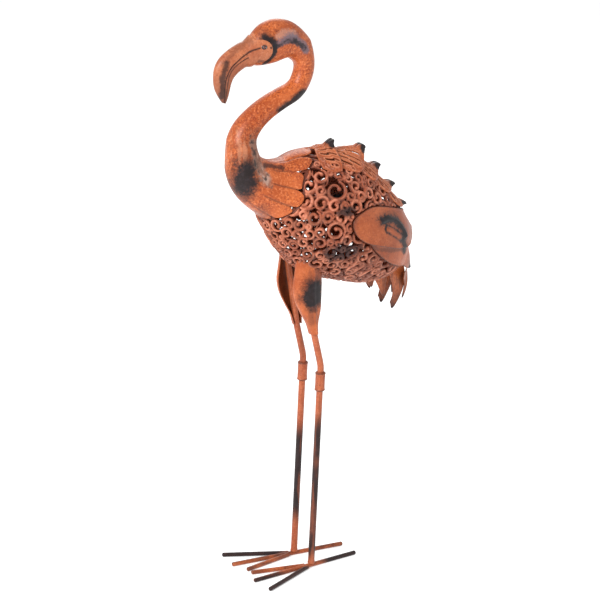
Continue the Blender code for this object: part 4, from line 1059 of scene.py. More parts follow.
def build_thighs(settings):
    """Thigh shells: half ovals over the rod, their depth the sine to a power, with a pressed central rib,
    the top row cut to the body."""
    material = thigh_paint(settings)
    stations = catmull_rom([(*centre, half, room) for centre, half, room in THIGH_STATIONS], 8) * MM
    turn = np.linspace(0, math.pi, 49)
    open_face = (LEG_SPACING / 2 - THIGH_OPEN_FACE) * MM
    rod_reach = THIGH_OPEN_FACE * MM + LEG_RADIUS + PART_GAP + SHEET
    anchor = THIGH_ANCHOR_ROW
    for label, side in SIDES:
        faces_of = []
        for grow in (0.0, SHEET):
            x, z, half, room = (stations[:, column, None] for column in range(4))
            rib = THIGH_RIB * bell(turn, math.pi * 0.55, 0.12) * np.sin(turn)
            depth = (rod_reach + room - grow) * np.sin(turn) ** 0.7 + rib
            along = x + CENTRING - (half - grow) * np.cos(turn)
            rows = np.stack([along, side * (open_face + depth), z + 0 * turn], -1)
            base = rows[anchor].copy()
            way = rows[0] - base
            way /= np.linalg.norm(way, axis=1)[:, None]
            reach = BODY.distance_below(base, way, SEAT_GAP * 0.5)
            share = (anchor - np.arange(anchor))[:, None, None] / anchor
            rows[:anchor] = base + way * reach[:, None] * share
            faces_of.append(rows)
        outer, inner = faces_of
        rows, columns = outer.shape[:2]
        index = np.arange(rows * columns).reshape(rows, columns)
        corners = (index[:-1, :-1], index[:-1, 1:], index[1:, 1:], index[1:, :-1])
        quads = np.stack(corners, -1).reshape(-1, 4)
        total = rows * columns
        rim = np.concatenate([index[0], index[1:, -1], index[-1, -2::-1], index[-2:0:-1, 0]])
        after = np.roll(rim, -1)
        walls = np.stack([after, rim, rim + total, after + total], -1)
        faces = [*quads.tolist(), *(quads[:, ::-1] + total).tolist(), *walls.tolist()]
        vertices = np.concatenate([outer.reshape(-1, 3), inner.reshape(-1, 3)])
        add_piece("thigh_shell_" + label, vertices, outward(vertices, faces), material,
                  ["thigh_" + label], attributes={"outside": np.repeat([1.0, 0.0], total)}, sharp=50)


def bar(path, radii, columns):
    """Round bar: a circle of each radius carried along a path, square to it, its cross axis kept level."""
    path, radii = np.asarray(path, float), np.asarray(radii, float)
    tangent = np.gradient(path, axis=0)
    tangent /= np.linalg.norm(tangent, axis=1)[:, None]
    reference = np.array([0.0, 1.0, 0.0]) if abs(tangent[0][2]) > 0.5 else np.array([0.0, 0.0, 1.0])
    across = np.cross(tangent, reference)
    across /= np.linalg.norm(across, axis=1)[:, None]
    up = np.cross(across, tangent)
    turn = circle(columns)
    ring = across[:, None] * np.cos(turn)[:, None] + up[:, None] * np.sin(turn)[:, None]
    return path[:, None] + ring * radii[:, None, None]


def straight(start, end, count):
    """Points from start to end."""
    return start + (end - start) * np.linspace(0, 1, count)[:, None]


def add_bar(name, path, radii, columns, material, nodes):
    """A closed round bar as a piece."""
    vertices, faces = closed_tube(bar(path, radii, columns))
    return add_piece(name, vertices, outward(vertices, faces), material, nodes, sharp=50)


def leg_axis(side):
    """Foot, knee and the direction between them."""
    y = side * LEG_SPACING / 2 * MM
    foot = side_view(0, 2 * TOE_RADIUS / MM + 0.3, y)
    knee = side_view(*KNEE, y)
    return foot, knee, (knee - foot) / np.linalg.norm(knee - foot)


def build_legs(settings):
    """Lower and upper leg rods, with a weld bead at the foot."""
    material = leg_paint(settings)
    for label, side in SIDES:
        foot, knee, axis = leg_axis(side)
        path = straight(foot, knee - axis * PART_GAP, 60)
        run = np.linspace(0, np.linalg.norm(knee - foot), 60)
        radii = LEG_RADIUS * (1 + FOOT_BEAD * bell(run, 0, 3 * MM))
        add_bar("lower_leg_" + label, path, radii, LEG_SIDES, material, ["leg_lower_" + label])
        bends = [side_view(x, z, side * LEG_SPACING / 2 * MM) for x, z in UPPER_ROD_BENDS]
        start = knee + axis * PART_GAP
        shoulder = knee + axis * (SLEEVE_LENGTH / 2 + 10) * MM
        end = (bends[0] + bends[1]) / 2
        way = (end - bends[0]) / np.linalg.norm(end - bends[0])
        reach = BODY.distance_below(end[None], way[None], SEAT_GAP)[0]
        top = end + way * reach
        path = np.concatenate([straight(start, shoulder, 8)[:-1], straight(shoulder, bends[0], 14)[:-1],
                               straight(bends[0], top, 24)])
        path = soften(path, 1, len(path) - 1, 3)
        add_bar("upper_leg_" + label, path, np.full(len(path), LEG_RADIUS), LEG_SIDES, material,
                ["leg_upper_" + label])


def build_sleeves(settings):
    """Knee sleeves: a profile of radius against distance turned about the leg's axis, with rolled ends."""
    material = leg_paint(settings)
    profile = catmull_rom(SLEEVE_PROFILE, 3, closed=True) * MM
    turn = circle(SLEEVE_SIDES)
    for label, side in SIDES:
        _, knee, axis = leg_axis(side)
        across = np.array([0.0, 1.0, 0.0])
        up = np.cross(axis, across)
        ring = across * np.cos(turn)[:, None] + up * np.sin(turn)[:, None]
        rings = knee + axis * profile[:, 0, None, None] + ring * profile[:, 1, None, None]
        rings = np.concatenate([rings, rings[:1]])
        rows, columns = rings.shape[:2]
        faces = lathe_faces(rows, columns) % ((rows - 1) * columns)
        vertices = rings[:-1].reshape(-1, 3)
        add_piece("knee_collar_" + label, vertices, outward(vertices, faces.tolist()), material,
                  ["knee_sleeve_" + label], sharp=50)


def build_feet(settings):
    """Toe wires with rounded ends: one from the rear toe to the middle one, two that leave it at the leg."""
    material = foot_paint(settings)
    for label, side in SIDES:
        centre = side_view(0, TOE_RADIUS / MM, side * LEG_SPACING / 2 * MM)

        def heading(degrees):
            turn = math.radians(degrees)
            return np.array([-math.cos(turn), side * math.sin(turn), 0.0])

        line = heading(TOE_LINE_ANGLE)
        wires = {"long": (-line * REAR_TOE * MM, line * MIDDLE_TOE * MM)}
        for kind, (length, angle) in (("outer", OUTER_TOE), ("inner", INNER_TOE)):
            way = heading(angle)
            beside = np.cross(line, (0, 0, 1.0))
            start = TOE_RADIUS / abs(way @ beside) * 0.8
            wires[kind] = (way * start, way * length * MM)
        for kind, (start, end) in wires.items():
            total = np.linalg.norm(end - start)
            way = (end - start) / total
            run = np.concatenate([np.linspace(0, TOE_END, 6), np.linspace(6, total / MM - 6, 40),
                                  np.linspace(total / MM - TOE_END, total / MM, 6)]) * MM
            from_end = np.clip(np.minimum(run, total - run) / (TOE_END * MM), 0, 1)
            round_end = np.sqrt(np.clip(1 - (1 - from_end) ** 2, 0.03, 1))
            path = centre + start + way * run[:, None]
            add_bar(f"toe_wire_{kind}_{label}", path, TOE_RADIUS * round_end, TOE_SIDES, material,
                    [f"toe_{kind}_{label}"])


# Materials.

class Socket:
    """One output of a node tree, with arithmetic that adds Math nodes."""

    def __init__(self, tree, link):
        self.tree, self.link = tree, link

    def node(self, kind, settings=None, inputs=None, output=0):
        """Any node: its settings are set first, then the values or links of its sockets."""
        made = self.tree.nodes.new(kind)
        for key, value in (settings or {}).items():
            setattr(made, key, value)
        for key, value in (inputs or {}).items():
            if isinstance(value, Socket):
                self.tree.links.new(value.link, made.inputs[key])
            else:
                made.inputs[key].default_value = value
        return Socket(self.tree, made.outputs[output])

    def math(self, operation, *values):
        """A Math node on the values."""
        return self.node("ShaderNodeMath", {"operation": operation}, dict(enumerate(values)))

    def vector(self, operation, *values, output=0):
        """A Vector Math node on the values."""
        settings = {"operation": operation}
        return self.node("ShaderNodeVectorMath", settings, dict(enumerate(values)), output)

    def __add__(self, other):
        return self.math("ADD", self, other)

    def __sub__(self, other):
        return self.math("SUBTRACT", self, other)

    def __mul__(self, other):
        return self.math("MULTIPLY", self, other)

    def __truediv__(self, other):
        return self.math("DIVIDE", self, other)

    def __rsub__(self, other):
        return self.math("SUBTRACT", other, self)

    __radd__ = __add__
    __rmul__ = __mul__

    def least(self, other):
        """The smaller of the two."""
        return self.math("MINIMUM", self, other)

    def most(self, other):
        """The larger of the two."""
        return self.math("MAXIMUM", self, other)

    def size(self):
        """The value without its sign."""
        return self.math("ABSOLUTE", self)

    def step(self, start, end):
        """0 below start and 1 above end, eased between them."""
        inputs = {"Value": self, "From Min": start, "From Max": end}
        return self.node("ShaderNodeMapRange", {"interpolation_type": "SMOOTHSTEP"}, inputs)

    def fade(self, start, end):
        """1 below start and 0 above end, eased between them."""
        return 1 - self.step(start, end)

    def blend(self, low, high):
        """Colour low where this is 0 and high where it is 1."""
        return self.node("ShaderNodeMix", {"data_type": "RGBA"}, {0: self, 6: low, 7: high}, 2)


def new_material(name):
    """A material with its node tree and its shader."""
    material = bpy.data.materials.new(name)
    material.use_nodes = True
    return material, material.node_tree, material.node_tree.nodes["Principled BSDF"]


class Paint:
    """A patina paint: coral in two tones with dark speckle, fine pits, and rubbed or blackened patches."""

    def __init__(self, name, settings, coral=(1.0, 1.0, 1.0), mottle=1.0):
        self.material, tree, self.shader = new_material(name)
        coordinates = tree.nodes.new("ShaderNodeTexCoord")
        self.place = Socket(tree, coordinates.outputs["Object"])
        self.tree, self.settings = tree, settings
        x, y, z = (self.axis(index) for index in range(3))
        self.mirrored = self.place.node("ShaderNodeCombineXYZ", None, {0: x, 1: y.size(), 2: z})
        self.flat = self.place.node("ShaderNodeCombineXYZ", None, {0: x, 2: z})
        tone = self.noise(14, 3) * 0.6 + self.noise(60, 3) * 0.4
        base, deep, light = ([channel * scale for channel, scale in zip(paint, coral)] + [1]
                             for paint in (settings.coral, settings.deep_coral, settings.light_coral))
        self.colour = tone.step(0.38, 0.62).blend(deep, base)
        self.lighten(self.noise(280, 3).step(0.50, 0.66), 0.6 * mottle, light)
        clusters = self.noise(30, 3).step(0.34, 0.56)
        flecks = self.noise(340, 2).step(0.50, 0.60) * clusters
        self.lighten(flecks, settings.speckle * mottle, (*settings.speckle_coral, 1))
        self.dark = self.noise(430, 2).step(0.62, 0.72) * clusters * 0.7
        self.relief = self.noise(260, 4) * 0.6 + self.noise(800, 2) * 0.25

    def axis(self, index):
        """One coordinate of the place on the object, in metres."""
        return self.place.node("ShaderNodeSeparateXYZ", None, {0: self.place}, index)

    def noise(self, scale, detail):
        """Fractal noise about the object, 0 to 1."""
        inputs = {"Vector": self.place, "Scale": float(scale), "Detail": float(detail), "Roughness": 0.6}
        return self.place.node("ShaderNodeTexNoise", None, inputs)

    def attribute(self, name):
        """A value stored on the mesh's points."""
        return self.place.node("ShaderNodeAttribute", {"attribute_name": name}, output=2)

    def patch(self, centre, radii, ragged=0.45, edge=0.35):
        """Oval patch about a point on both sides of the bird, its edge broken by noise, 1 inside."""
        centre = (centre[0] * MM + CENTRING, centre[1] * MM, centre[2] * MM)
        offset = self.mirrored.vector("SUBTRACT", self.mirrored, centre)
        scaled = self.mirrored.vector("DIVIDE", offset, tuple(radius * MM for radius in radii))
        reach = self.mirrored.vector("LENGTH", scaled, output=1)
        return (reach + self.ragged(ragged)).fade(1 - edge, 1 + edge)

    def ragged(self, amount):
        """Noise about zero that breaks an edge into blots and fine flecks."""
        blots, flecks = self.noise(75, 4) - 0.5, self.noise(330, 2) - 0.5
        return blots * (3.2 * amount) + flecks * (1.8 * amount)

    def streak(self, points, width, ragged=0.5):
        """Brushed streak along side-view points, on both sides of the bird, 1 inside."""
        ends = [Vector((x * MM + CENTRING, 0, z * MM)) for x, z in points]
        nearest = None
        for start, end in zip(ends, ends[1:]):
            line = end - start
            offset = self.flat.vector("SUBTRACT", self.flat, tuple(start))
            scaled = tuple(line / line.length_squared)
            share = self.flat.vector("DOT_PRODUCT", offset, scaled, output=1).most(0.0).least(1.0)
            inputs = {0: tuple(line), 3: share}
            spread = self.flat.node("ShaderNodeVectorMath", {"operation": "SCALE"}, inputs)
            away = self.flat.vector("DISTANCE", offset, spread, output=1)
            nearest = away if nearest is None else nearest.least(away)
        return (nearest / (width * MM) + self.ragged(ragged)).fade(0.45, 1.4)

    def brushed(self, scale, stretch):
        """Noise drawn out along the axes, for brush marks, 0 to 1."""
        drawn = self.place.vector("MULTIPLY", self.place, stretch)
        inputs = {"Vector": drawn, "Scale": float(scale), "Detail": 3.0}
        return self.place.node("ShaderNodeTexNoise", None, inputs)

    def blacken(self, mask, amount=1.0):
        """Add a dark patina where mask is 1."""
        self.dark = self.dark.most(mask * amount)

    def brown(self, mask, amount=0.8):
        """Mix brown into the coral where mask is 1: rubbed-in brown, and in places painted shade and shadow.
        """
        self.lighten(mask, amount, (*self.settings.brown, 1))

    def lighten(self, mask, amount=0.7, colour=None):
        """Mix another colour, at first the pale coral, into the paint where mask is 1: rubbed paint, and in
        places painted highlights and painted shade.
        """
        self.colour = (mask * amount).blend(self.colour, colour or (*self.settings.light_coral, 1))

    def finish(self, roughness=0.40, bump=0.35):
        """Join colour, roughness and relief to the shader."""
        tree, shader = self.tree, self.shader
        worn = self.noise(150, 3).step(0.35, 0.8)
        black = worn.blend((*self.settings.patina, 1), (*self.settings.grey, 1))
        colour = self.dark.least(0.98).blend(self.colour, black)
        tree.links.new(colour.link, shader.inputs["Base Color"])
        gloss = self.noise(80, 3) * 0.3 + (roughness - 0.15) + self.dark * 0.1
        tree.links.new(gloss.link, shader.inputs["Roughness"])
        height = self.relief - self.dark * 0.15
        inputs = {"Height": height, "Strength": bump, "Distance": 0.5 * MM}
        normal = self.place.node("ShaderNodeBump", None, inputs)
        tree.links.new(normal.link, shader.inputs["Normal"])
        for key, value in (("Specular IOR Level", 0.24), ("Coat Weight", 0.08), ("Coat Roughness", 0.3)):
            shader.inputs[key].default_value = value
        return self.material


def neck_paint(settings):
    """Head, neck and yoke: fine hammered speckle, a black crescent behind the face plate, a grey streak
    over the head with a painted highlight above it, black patches on the throat and breast, a brown nape
    and pale scratches."""
    paint = Paint("coral_neck", settings)
    low_neck = paint.patch((-100, 8, 662), (30, 40, 36), 0.5)
    paint.brown(paint.patch((-98, 14, 668), (22, 30, 34), 0.7), 0.45)
    paint.brown(paint.streak([(-76, 836), (-58, 832), (-40, 832), (-20, 828)], 10, 0.7), 0.35)
    # Painted highlight: a pale streak along the crown above the grey smear.
    paint.lighten(paint.streak([(-52, 832), (-40, 836), (-26, 834)], 5, 0.8), 0.45, (0.50, 0.27, 0.20, 1))
    scratches = paint.brushed(120, (1.0, 1.0, 0.3)).step(0.48, 0.62)
    crescent = [(-72, 831.5), (-66, 830), (-60, 825), (-56.5, 816), (-58.5, 807), (-64, 799), (-69, 793)]
    paint.blacken(paint.streak(crescent, 4.4, 0.4))
    paint.blacken(paint.streak([(-71, 832), (-63, 828.5), (-57, 821)], 6.5, 0.45), 0.95)
    smear = paint.streak([(-56, 821), (-43, 824), (-33, 829), (-23, 825), (-12, 816), (-5, 806)], 6.5, 0.6)
    paint.lighten(smear, 0.85, (0.12, 0.095, 0.12, 1))
    under = paint.streak([(-56, 819), (-43, 821), (-33, 825.5), (-23, 822), (-8, 809)], 4.2, 0.8)
    paint.blacken(under * paint.noise(55, 3).step(0.34, 0.54), 0.9)
    paint.blacken(paint.streak([(-42, 720), (-26, 727), (-8, 741)], 9, 0.45))
    paint.blacken(paint.patch((-105, 12, 630), (20, 26, 34), 0.24))
    paint.blacken(paint.streak([(-98, 690), (-95, 672), (-92, 650)], 4.5, 0.9) * scratches, 0.9)
    paint.blacken(paint.streak([(-74, 644), (-60, 640), (-46, 636)], 3.0, 0.8), 0.75)
    paint.lighten(low_neck * scratches, 0.45, (0.56, 0.24, 0.13, 1))
    nape = paint.streak([(-93, 680), (-88, 658), (-82, 636), (-76, 622)], 8, 0.6)
    paint.lighten(nape, 0.75, (0.22, 0.125, 0.09, 1))
    paint.lighten(nape * scratches, 0.6, (0.45, 0.30, 0.24, 1))
    paint.blacken(nape * paint.noise(120, 3).step(0.52, 0.64), 0.85)
    paint.brown(paint.streak([(-84, 585), (-72, 560), (-56, 540)], 7, 0.8), 0.35)
    crease = paint.attribute("crease") + (paint.noise(150, 3) - 0.5) * 2
    paint.brown(crease.fade(0.4, 4.0), 0.6)
    paint.blacken(crease.fade(-0.2, 0.8), 0.15)
    return paint.finish(bump=0.5)


def face_paint(settings):
    """Face plate and beak: coral rubbed with brown towards the tip, dark in the two mouth lines."""
    paint = Paint("coral_face", settings, coral=(0.95, 1.35, 2.4), mottle=0.35)
    paint.brown(paint.axis(2).fade(0.740, 0.822), 0.55)
    paint.brown(paint.streak([(-128, 806), (-108, 822), (-90, 829)], 4, 0.9), 0.4)
    paint.blacken(paint.streak([(-130, 802), (-136, 778), (-135.5, 750)], 4.2, 0.6), 0.8)
    paint.blacken(paint.axis(2).fade(0.728, 0.755), 0.7)
    paint.blacken(paint.streak([(-64.8, 818.6), (-64.2, 817.6)], 1.6, 0.2), 0.85)
    paint.blacken(paint.streak([(-80, 799), (-74, 797)], 3.0, 0.6), 0.5)
    line = paint.attribute("mouth") + (paint.noise(200, 2) - 0.5) * 0.8
    paint.brown(line.fade(0.6, 2.0), 0.85)
    paint.blacken(line.fade(0.1, 0.85), 0.8)
    return paint.finish()


def eye_paint():
    """Glossy dark eye with a reddish dome."""
    material, tree, shader = new_material("eye_enamel")
    coordinates = Socket(tree, tree.nodes.new("ShaderNodeTexCoord").outputs["Object"])
    radius = coordinates.node("ShaderNodeAttribute", {"attribute_name": "rise"}, output=2)
    noise = coordinates.node("ShaderNodeTexNoise", None, {"Vector": coordinates, "Scale": 700.0})
    edge = radius + (noise - 0.5) * 0.8
    colour = edge.step(1.4, 2.0).blend((0.10, 0.022, 0.014, 1), (0.004, 0.004, 0.005, 1))
    colour = edge.step(2.9, 3.5).blend(colour, (0.30, 0.085, 0.035, 1))
    tree.links.new(colour.link, shader.inputs["Base Color"])
    shader.inputs["Roughness"].default_value = 0.22
    shader.inputs["Coat Weight"].default_value = 0.6
    return material


def body_paint(settings):
    """Filigree: pinkish coral strands with a painted highlight on their crowns, painted shade in dark
    red-brown in the creases between them and on the inside, more brown low on the body as painted shade, and
    black rubbed under the largest scroll and low on the side."""
    paint = Paint("coral_filigree", settings, coral=(0.80, 0.95, 1.7), mottle=0.6)
    height = paint.attribute("height")
    paint.brown(paint.noise(60, 4).step(0.46, 0.64), 0.55)
    # Painted shade: brown mixed in low on the body, darker towards the bottom, for the shade on the
    # underside.
    paint.brown(paint.axis(2).fade(0.462, 0.580), 0.42)
    # Painted highlight: pale coral on the raised crowns of the strands.
    paint.lighten(height.step(2.0, 3.4) * paint.noise(95, 3).step(0.36, 0.62), 0.8, (0.62, 0.22, 0.13, 1))
    # Painted shade: dark red-brown on the low edges of the strands, in the creases between the crowns.
    paint.lighten(height.fade(0.5, 2.3), 0.9, (0.10, 0.020, 0.009, 1))
    # Painted shade: dark red-brown on the shells' inner faces and cut walls, seen through the holes.
    paint.lighten(height.fade(-0.6, -0.2), 0.85, (0.26, 0.042, 0.010, 1))
    for centre, radii in (((31, 62, 508), (28, 34, 15)), ((36, 66, 570), (17, 24, 7)),
                          ((88, 50, 520), (12, 30, 8))):
        paint.blacken(paint.patch(centre, radii, 0.5), 0.85)
    return paint.finish(roughness=0.46)


def plate_paint(settings):
    """Rump plates: smooth coral with painted shade in brown along their edges, a painted shadow under the
    upper plate's lower edge, and a black fold and tip.
    """
    paint = Paint("coral_plate", settings, coral=(0.82, 0.85, 1.0), mottle=0.4)
    dark = paint.attribute("dark") + paint.ragged(0.5)
    paint.brown(dark.step(-0.4, 0.5), 0.6)
    # Painted shade: brown within a couple of millimetres of each plate's edge, a shading line round the
    # outline.
    paint.brown((paint.attribute("inside") + paint.ragged(0.4)).fade(0.2, 1.8), 0.9)
    paint.brown(paint.noise(24, 3).step(0.48, 0.72), 0.45)
    paint.blacken(dark.step(0.2, 0.7))
    # Painted shadow: brown on the lower plate just under the upper plate's lower edge.
    paint.brown(paint.streak([(78, 507), (101, 499), (132, 490), (150, 487)], 3.5, 0.7), 0.6)
    paint.blacken(paint.streak([(140, 506), (147, 495), (152, 482)], 6, 0.5), 0.95)
    return paint.finish()


def feather_paint(settings):
    """Back feathers: coral with painted shade in brown along the slots, a painted highlight on the rims
    beside them, and black curled tips.
    """
    paint = Paint("coral_feather", settings, coral=(1.0, 1.2, 1.8), mottle=0.6)
    tip = paint.attribute("tip") + (paint.noise(120, 4) - 0.5) * 0.4
    groove = paint.attribute("groove")
    # Painted shade: brown on the slopes down into the slots.
    paint.brown(groove.fade(0.6, 2.4), 0.85)
    # Painted highlight: pale coral on the raised rims beside the slots.
    paint.lighten(groove.step(1.8, 2.6) * groove.fade(3.0, 4.2), 0.5, (0.62, 0.24, 0.13, 1))
    paint.blacken(tip.step(0.1, 0.6))
    return paint.finish()


def tail_paint(settings):
    """Tail feathers: coral streaked with olive brown and drawn to dark tips."""
    paint = Paint("coral_tail", settings, coral=(0.85, 0.95, 1.2), mottle=0.6)
    tip = paint.attribute("tip") + (paint.noise(120, 4) - 0.5) * 0.7
    paint.brown(paint.brushed(110, (1.0, 1.0, 0.25)).step(0.45, 0.62), 0.65)
    paint.brown(tip.step(-0.2, 0.8), 0.7)
    paint.blacken(tip.step(0.6, 1.1), 0.9)
    return paint.finish()


def thigh_paint(settings):
    """Thighs: smooth coral with painted shade in brown down the back edge, brown brush marks and a brown
    inner face, with one ragged black patch on the outer face.
    """
    paint = Paint("coral_thigh", settings, coral=(0.92, 0.95, 1.1), mottle=0.45)
    # Painted shade: brown down the rear edge of the thigh's outer face.
    paint.brown(paint.patch((10, 34, 455), (12, 30, 50), 0.7), 0.45)
    paint.brown(paint.brushed(60, (1.0, 1.0, 0.3)).step(0.50, 0.66), 0.45)
    outside = paint.attribute("outside")
    paint.brown(1 - outside, 0.55)
    paint.blacken(paint.patch((-2, 40, 439), (21, 28, 25), 0.3) * outside)
    return paint.finish()


def leg_paint(settings):
    """Legs: coral brushed with dark brown and black down the lower rods, more on the bird's right leg."""
    paint = Paint("coral_leg", settings, coral=(0.88, 1.0, 1.6), mottle=0.5)
    height = paint.axis(2)
    right = paint.axis(1).step(-0.001, 0.001)
    near = (1 - right) * height.fade(0.215, 0.258) * height.step(0.004, 0.030)
    far = right * height.fade(0.185, 0.225) * height.step(0.045, 0.085)
    brushed = paint.brushed(150, (1.0, 1.0, 0.10))
    blots = paint.brushed(26, (1.0, 1.0, 0.6))
    paint.brown(near + far, 0.72)
    paint.brown(brushed.step(0.5, 0.65), 0.4)
    paint.blacken(far * (brushed + 0.14).step(0.44, 0.60), 0.92)
    paint.blacken(near * brushed.step(0.38, 0.52) * blots.step(0.30, 0.50), 0.88)
    for level in (0.2835, 0.3105):
        paint.brown((height - level).size().fade(0.0006, 0.0022), 0.7)
    return paint.finish()


def foot_paint(settings):
    """Toes: dark brown paint worn to coral along the wire, with blackened ends."""
    paint = Paint("brown_toe", settings, coral=(0.85, 0.95, 1.2), mottle=0.5)
    paint.brown(paint.noise(22, 3).step(0.42, 0.64), 0.65)
    paint.brown(paint.brushed(90, (0.3, 1.0, 1.0)).step(0.5, 0.62), 0.6)
    outer = paint.axis(1).size().step(0.030, 0.036)
    left = 1 - paint.axis(1).step(-0.001, 0.001) * 0.7
    rear = paint.axis(0).step(0.0, 0.012) * left
    paint.blacken(outer.most(rear) * (paint.noise(30, 3) + 0.2).step(0.45, 0.62), 0.92)
    return paint.finish()


# Stage.

FLOOR_REACH = 6.0
LIGHTS = (
    ("key", (-2.2, -1.0, 1.9), 70, 1.0),
    ("fill", (1.8, -1.2, 1.2), 8, 1.6),
    ("rim", (0.8, 1.8, 1.8), 16, 1.2),
)
CAMERA_AZIMUTH = math.radians(-30)
CAMERA_ELEVATION = math.radians(19.5)
CAMERA_DISTANCE = 5.0
CAMERA_LENS = 203.25
CAMERA_TARGET = (-4.38, 420.15)


def build_stage():
    """A wide pale floor, large soft lights and the camera at the photograph's angle."""
    scene = bpy.context.scene
    mesh = bpy.data.meshes.new("floor")
    corners = [(x * FLOOR_REACH, y * FLOOR_REACH, 0) for x, y in ((-1, -1), (1, -1), (1, 1), (-1, 1))]
    mesh.from_pydata(corners, [], [(0, 1, 2, 3)])
    material, _, shader = new_material("pale_floor")
    for key, value in (("Base Color", (0.9, 0.9, 0.9, 1)), ("Roughness", 0.7),
                       ("Emission Color", (1, 1, 1, 1)), ("Emission Strength", 0.25)):
        shader.inputs[key].default_value = value
    mesh.materials.append(material)
    floor = bpy.data.objects.new("floor", mesh)
    scene.collection.objects.link(floor)
    world = bpy.data.worlds.new("studio")
    world.use_nodes = True
    world.node_tree.nodes["Background"].inputs["Color"].default_value = (1, 1, 1, 1)
    world.node_tree.nodes["Background"].inputs["Strength"].default_value = 0.8
    scene.world = world
    for name, place, power, width in LIGHTS:
        light = bpy.data.lights.new(name, "AREA")
        light.energy, light.size = power, width
        lamp = bpy.data.objects.new(name, light)
        lamp.location = place
        aim = Vector((0, 0, 0.45)) - Vector(place)
        lamp.rotation_euler = aim.to_track_quat("-Z", "Y").to_euler()
        scene.collection.objects.link(lamp)
    camera = bpy.data.objects.new("camera", bpy.data.cameras.new("camera"))
    camera.data.lens, camera.data.sensor_width = CAMERA_LENS, 36
    camera.data.clip_end = 50
    back = Vector((math.sin(CAMERA_AZIMUTH) * math.cos(CAMERA_ELEVATION),
                   -math.cos(CAMERA_AZIMUTH) * math.cos(CAMERA_ELEVATION), math.sin(CAMERA_ELEVATION)))
    right = Vector((math.cos(CAMERA_AZIMUTH), math.sin(CAMERA_AZIMUTH), 0))
    turn = Matrix((right, back.cross(right), back)).transposed().to_4x4()
    place = Vector(side_view(*CAMERA_TARGET)) + back * CAMERA_DISTANCE
    camera.matrix_world = Matrix.Translation(place) @ turn
    scene.collection.objects.link(camera)
    scene.camera = camera
    scene.view_settings.view_transform = "Standard"


# Settings, operators and panel.

class FlamingoSettings(bpy.types.PropertyGroup):
    """Sizes and colours that a user would change."""
    neck_columns: IntProperty(name="Neck columns", description="Sides of the neck's rings", default=192,
                              min=48)
    shell_step: FloatProperty(name="Shell step", description="Grid step of the filigree's flat pattern",
                              default=1.2 * MM, unit="LENGTH")
    strand_width: FloatProperty(name="Strand width", description="Width of a large scroll's strand",
                                default=5.5 * MM, unit="LENGTH")
    strand_relief: FloatProperty(name="Strand relief", description="How far a strand's crown stands up",
                                 default=2.6 * MM, unit="LENGTH")
    smallest_scroll: FloatProperty(name="Smallest scroll", default=3.9 * MM, unit="LENGTH",
                                   description="Radius under which a gap stays open")
    scroll_seed: IntProperty(name="Scroll seed", description="Which arrangement of scrolls is made",
                             default=4)
    coral: FloatVectorProperty(name="Coral", description="Main paint", subtype="COLOR",
                               default=(0.47, 0.108, 0.026))
    deep_coral: FloatVectorProperty(name="Deep coral", description="Paint in its darker tone",
                                    subtype="COLOR", default=(0.33, 0.062, 0.014))
    light_coral: FloatVectorProperty(name="Light coral", description="Paint rubbed pale", subtype="COLOR",
                                     default=(0.66, 0.20, 0.07))
    speckle_coral: FloatVectorProperty(name="Speckle coral", description="Dark red of the fine speckle",
                                       subtype="COLOR", default=(0.20, 0.030, 0.010))
    # The brown is also the colour of the painted shade and painted shadow on the body, plates, feathers and
    # thighs.
    brown: FloatVectorProperty(name="Brown", description="Brown rubbed into the paint", subtype="COLOR",
                               default=(0.085, 0.025, 0.014))
    patina: FloatVectorProperty(name="Patina", description="Black patina paint", subtype="COLOR",
                                default=(0.002, 0.0018, 0.003))
    grey: FloatVectorProperty(name="Patina grey", description="Black patina where it is rubbed thin",
                              subtype="COLOR", default=(0.012, 0.010, 0.014))
    speckle: FloatProperty(name="Speckle", description="Amount of fine dark speckle", default=0.75,
                           min=0, max=1)


class MakeNeck(bpy.types.Operator):
    """Make the head, neck and breast yoke"""
    bl_idname = "flamingo.neck"
    bl_label = "Head, neck and yoke"
    bl_options = {"REGISTER", "UNDO"}

    def execute(self, context):
        build_neck(context.scene.flamingo)
        return {"FINISHED"}


class MakeBeak(bpy.types.Operator):
    """Make the face plate and beak"""
    bl_idname = "flamingo.beak"
    bl_label = "Beak"
    bl_options = {"REGISTER", "UNDO"}

    def execute(self, context):
        build_beak(context.scene.flamingo)
        return {"FINISHED"}


class MakeEyes(bpy.types.Operator):
    """Make the eyes"""
    bl_idname = "flamingo.eyes"
    bl_label = "Eyes"
    bl_options = {"REGISTER", "UNDO"}

    def execute(self, context):
        build_eyes()
        return {"FINISHED"}


class MakeBody(bpy.types.Operator):
    """Make the openwork body shells"""
    bl_idname = "flamingo.body"
    bl_label = "Filigree body"
    bl_options = {"REGISTER", "UNDO"}

    def execute(self, context):
        build_shells(context.scene.flamingo)
        return {"FINISHED"}


class MakeFeathers(bpy.types.Operator):
    """Make the back feathers"""
    bl_idname = "flamingo.feathers"
    bl_label = "Back feathers"
    bl_options = {"REGISTER", "UNDO"}

    def execute(self, context):
        build_feathers(context.scene.flamingo)
        return {"FINISHED"}


class MakePlates(bpy.types.Operator):
    """Make the rump plates"""
    bl_idname = "flamingo.plates"
    bl_label = "Rump plates"
    bl_options = {"REGISTER", "UNDO"}

    def execute(self, context):
        build_plates(context.scene.flamingo)
        return {"FINISHED"}


class MakeTail(bpy.types.Operator):
    """Make the tail feathers"""
    bl_idname = "flamingo.tail"
    bl_label = "Tail feathers"
    bl_options = {"REGISTER", "UNDO"}

    def execute(self, context):
        build_tail(context.scene.flamingo)
        return {"FINISHED"}


class MakeThighs(bpy.types.Operator):
    """Make the thigh shells"""
    bl_idname = "flamingo.thighs"
    bl_label = "Thighs"
    bl_options = {"REGISTER", "UNDO"}

    def execute(self, context):
        build_thighs(context.scene.flamingo)
        return {"FINISHED"}


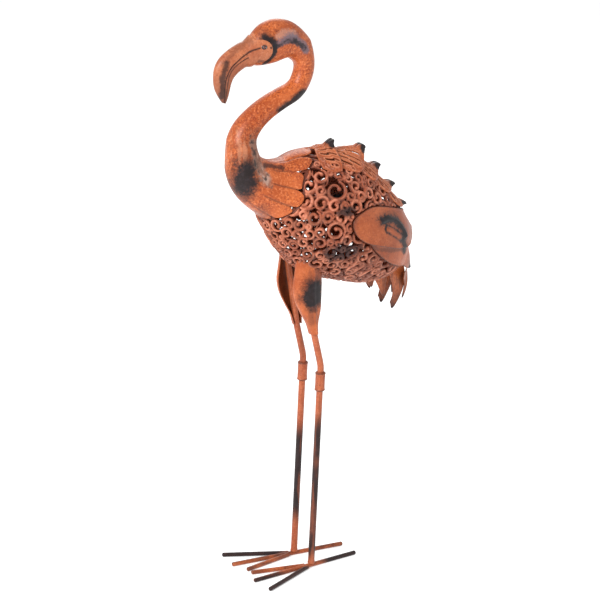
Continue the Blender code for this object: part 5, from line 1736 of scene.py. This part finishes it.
class MakeLegs(bpy.types.Operator):
    """Make the leg rods"""
    bl_idname = "flamingo.legs"
    bl_label = "Leg rods"
    bl_options = {"REGISTER", "UNDO"}

    def execute(self, context):
        build_legs(context.scene.flamingo)
        return {"FINISHED"}


class MakeSleeves(bpy.types.Operator):
    """Make the knee sleeves"""
    bl_idname = "flamingo.sleeves"
    bl_label = "Knee sleeves"
    bl_options = {"REGISTER", "UNDO"}

    def execute(self, context):
        build_sleeves(context.scene.flamingo)
        return {"FINISHED"}


class MakeFeet(bpy.types.Operator):
    """Make the toe wires"""
    bl_idname = "flamingo.feet"
    bl_label = "Feet"
    bl_options = {"REGISTER", "UNDO"}

    def execute(self, context):
        build_feet(context.scene.flamingo)
        return {"FINISHED"}


class MakeStage(bpy.types.Operator):
    """Make the floor, lights and camera"""
    bl_idname = "flamingo.stage"
    bl_label = "Stage"
    bl_options = {"REGISTER", "UNDO"}

    def execute(self, context):
        build_stage()
        return {"FINISHED"}


STEPS = (MakeNeck, MakeBeak, MakeEyes, MakeBody, MakeFeathers, MakePlates,
         MakeTail, MakeThighs, MakeLegs, MakeSleeves, MakeFeet, MakeStage)


class FlamingoPanel(bpy.types.Panel):
    """Sidebar panel with the settings and the steps"""
    bl_idname = "VIEW3D_PT_flamingo"
    bl_label = "Flamingo"
    bl_space_type = "VIEW_3D"
    bl_region_type = "UI"
    bl_category = "Flamingo"

    def draw(self, context):
        for key in FlamingoSettings.__annotations__:
            self.layout.prop(context.scene.flamingo, key)
        for step in STEPS:
            self.layout.operator(step.bl_idname)


def register():
    for item in (FlamingoSettings, *STEPS, FlamingoPanel):
        bpy.utils.register_class(item)
    bpy.types.Scene.flamingo = PointerProperty(type=FlamingoSettings)


def unregister():
    del bpy.types.Scene.flamingo
    for item in (FlamingoPanel, *reversed(STEPS), FlamingoSettings):
        bpy.utils.unregister_class(item)


def main():
    register()
    steps = bpy.ops.flamingo
    for step in (steps.neck, steps.beak, steps.eyes, steps.body, steps.feathers, steps.plates, steps.tail,
                 steps.thighs, steps.legs, steps.sleeves, steps.feet, steps.stage):
        step()


if __name__ == "__main__":
    main()
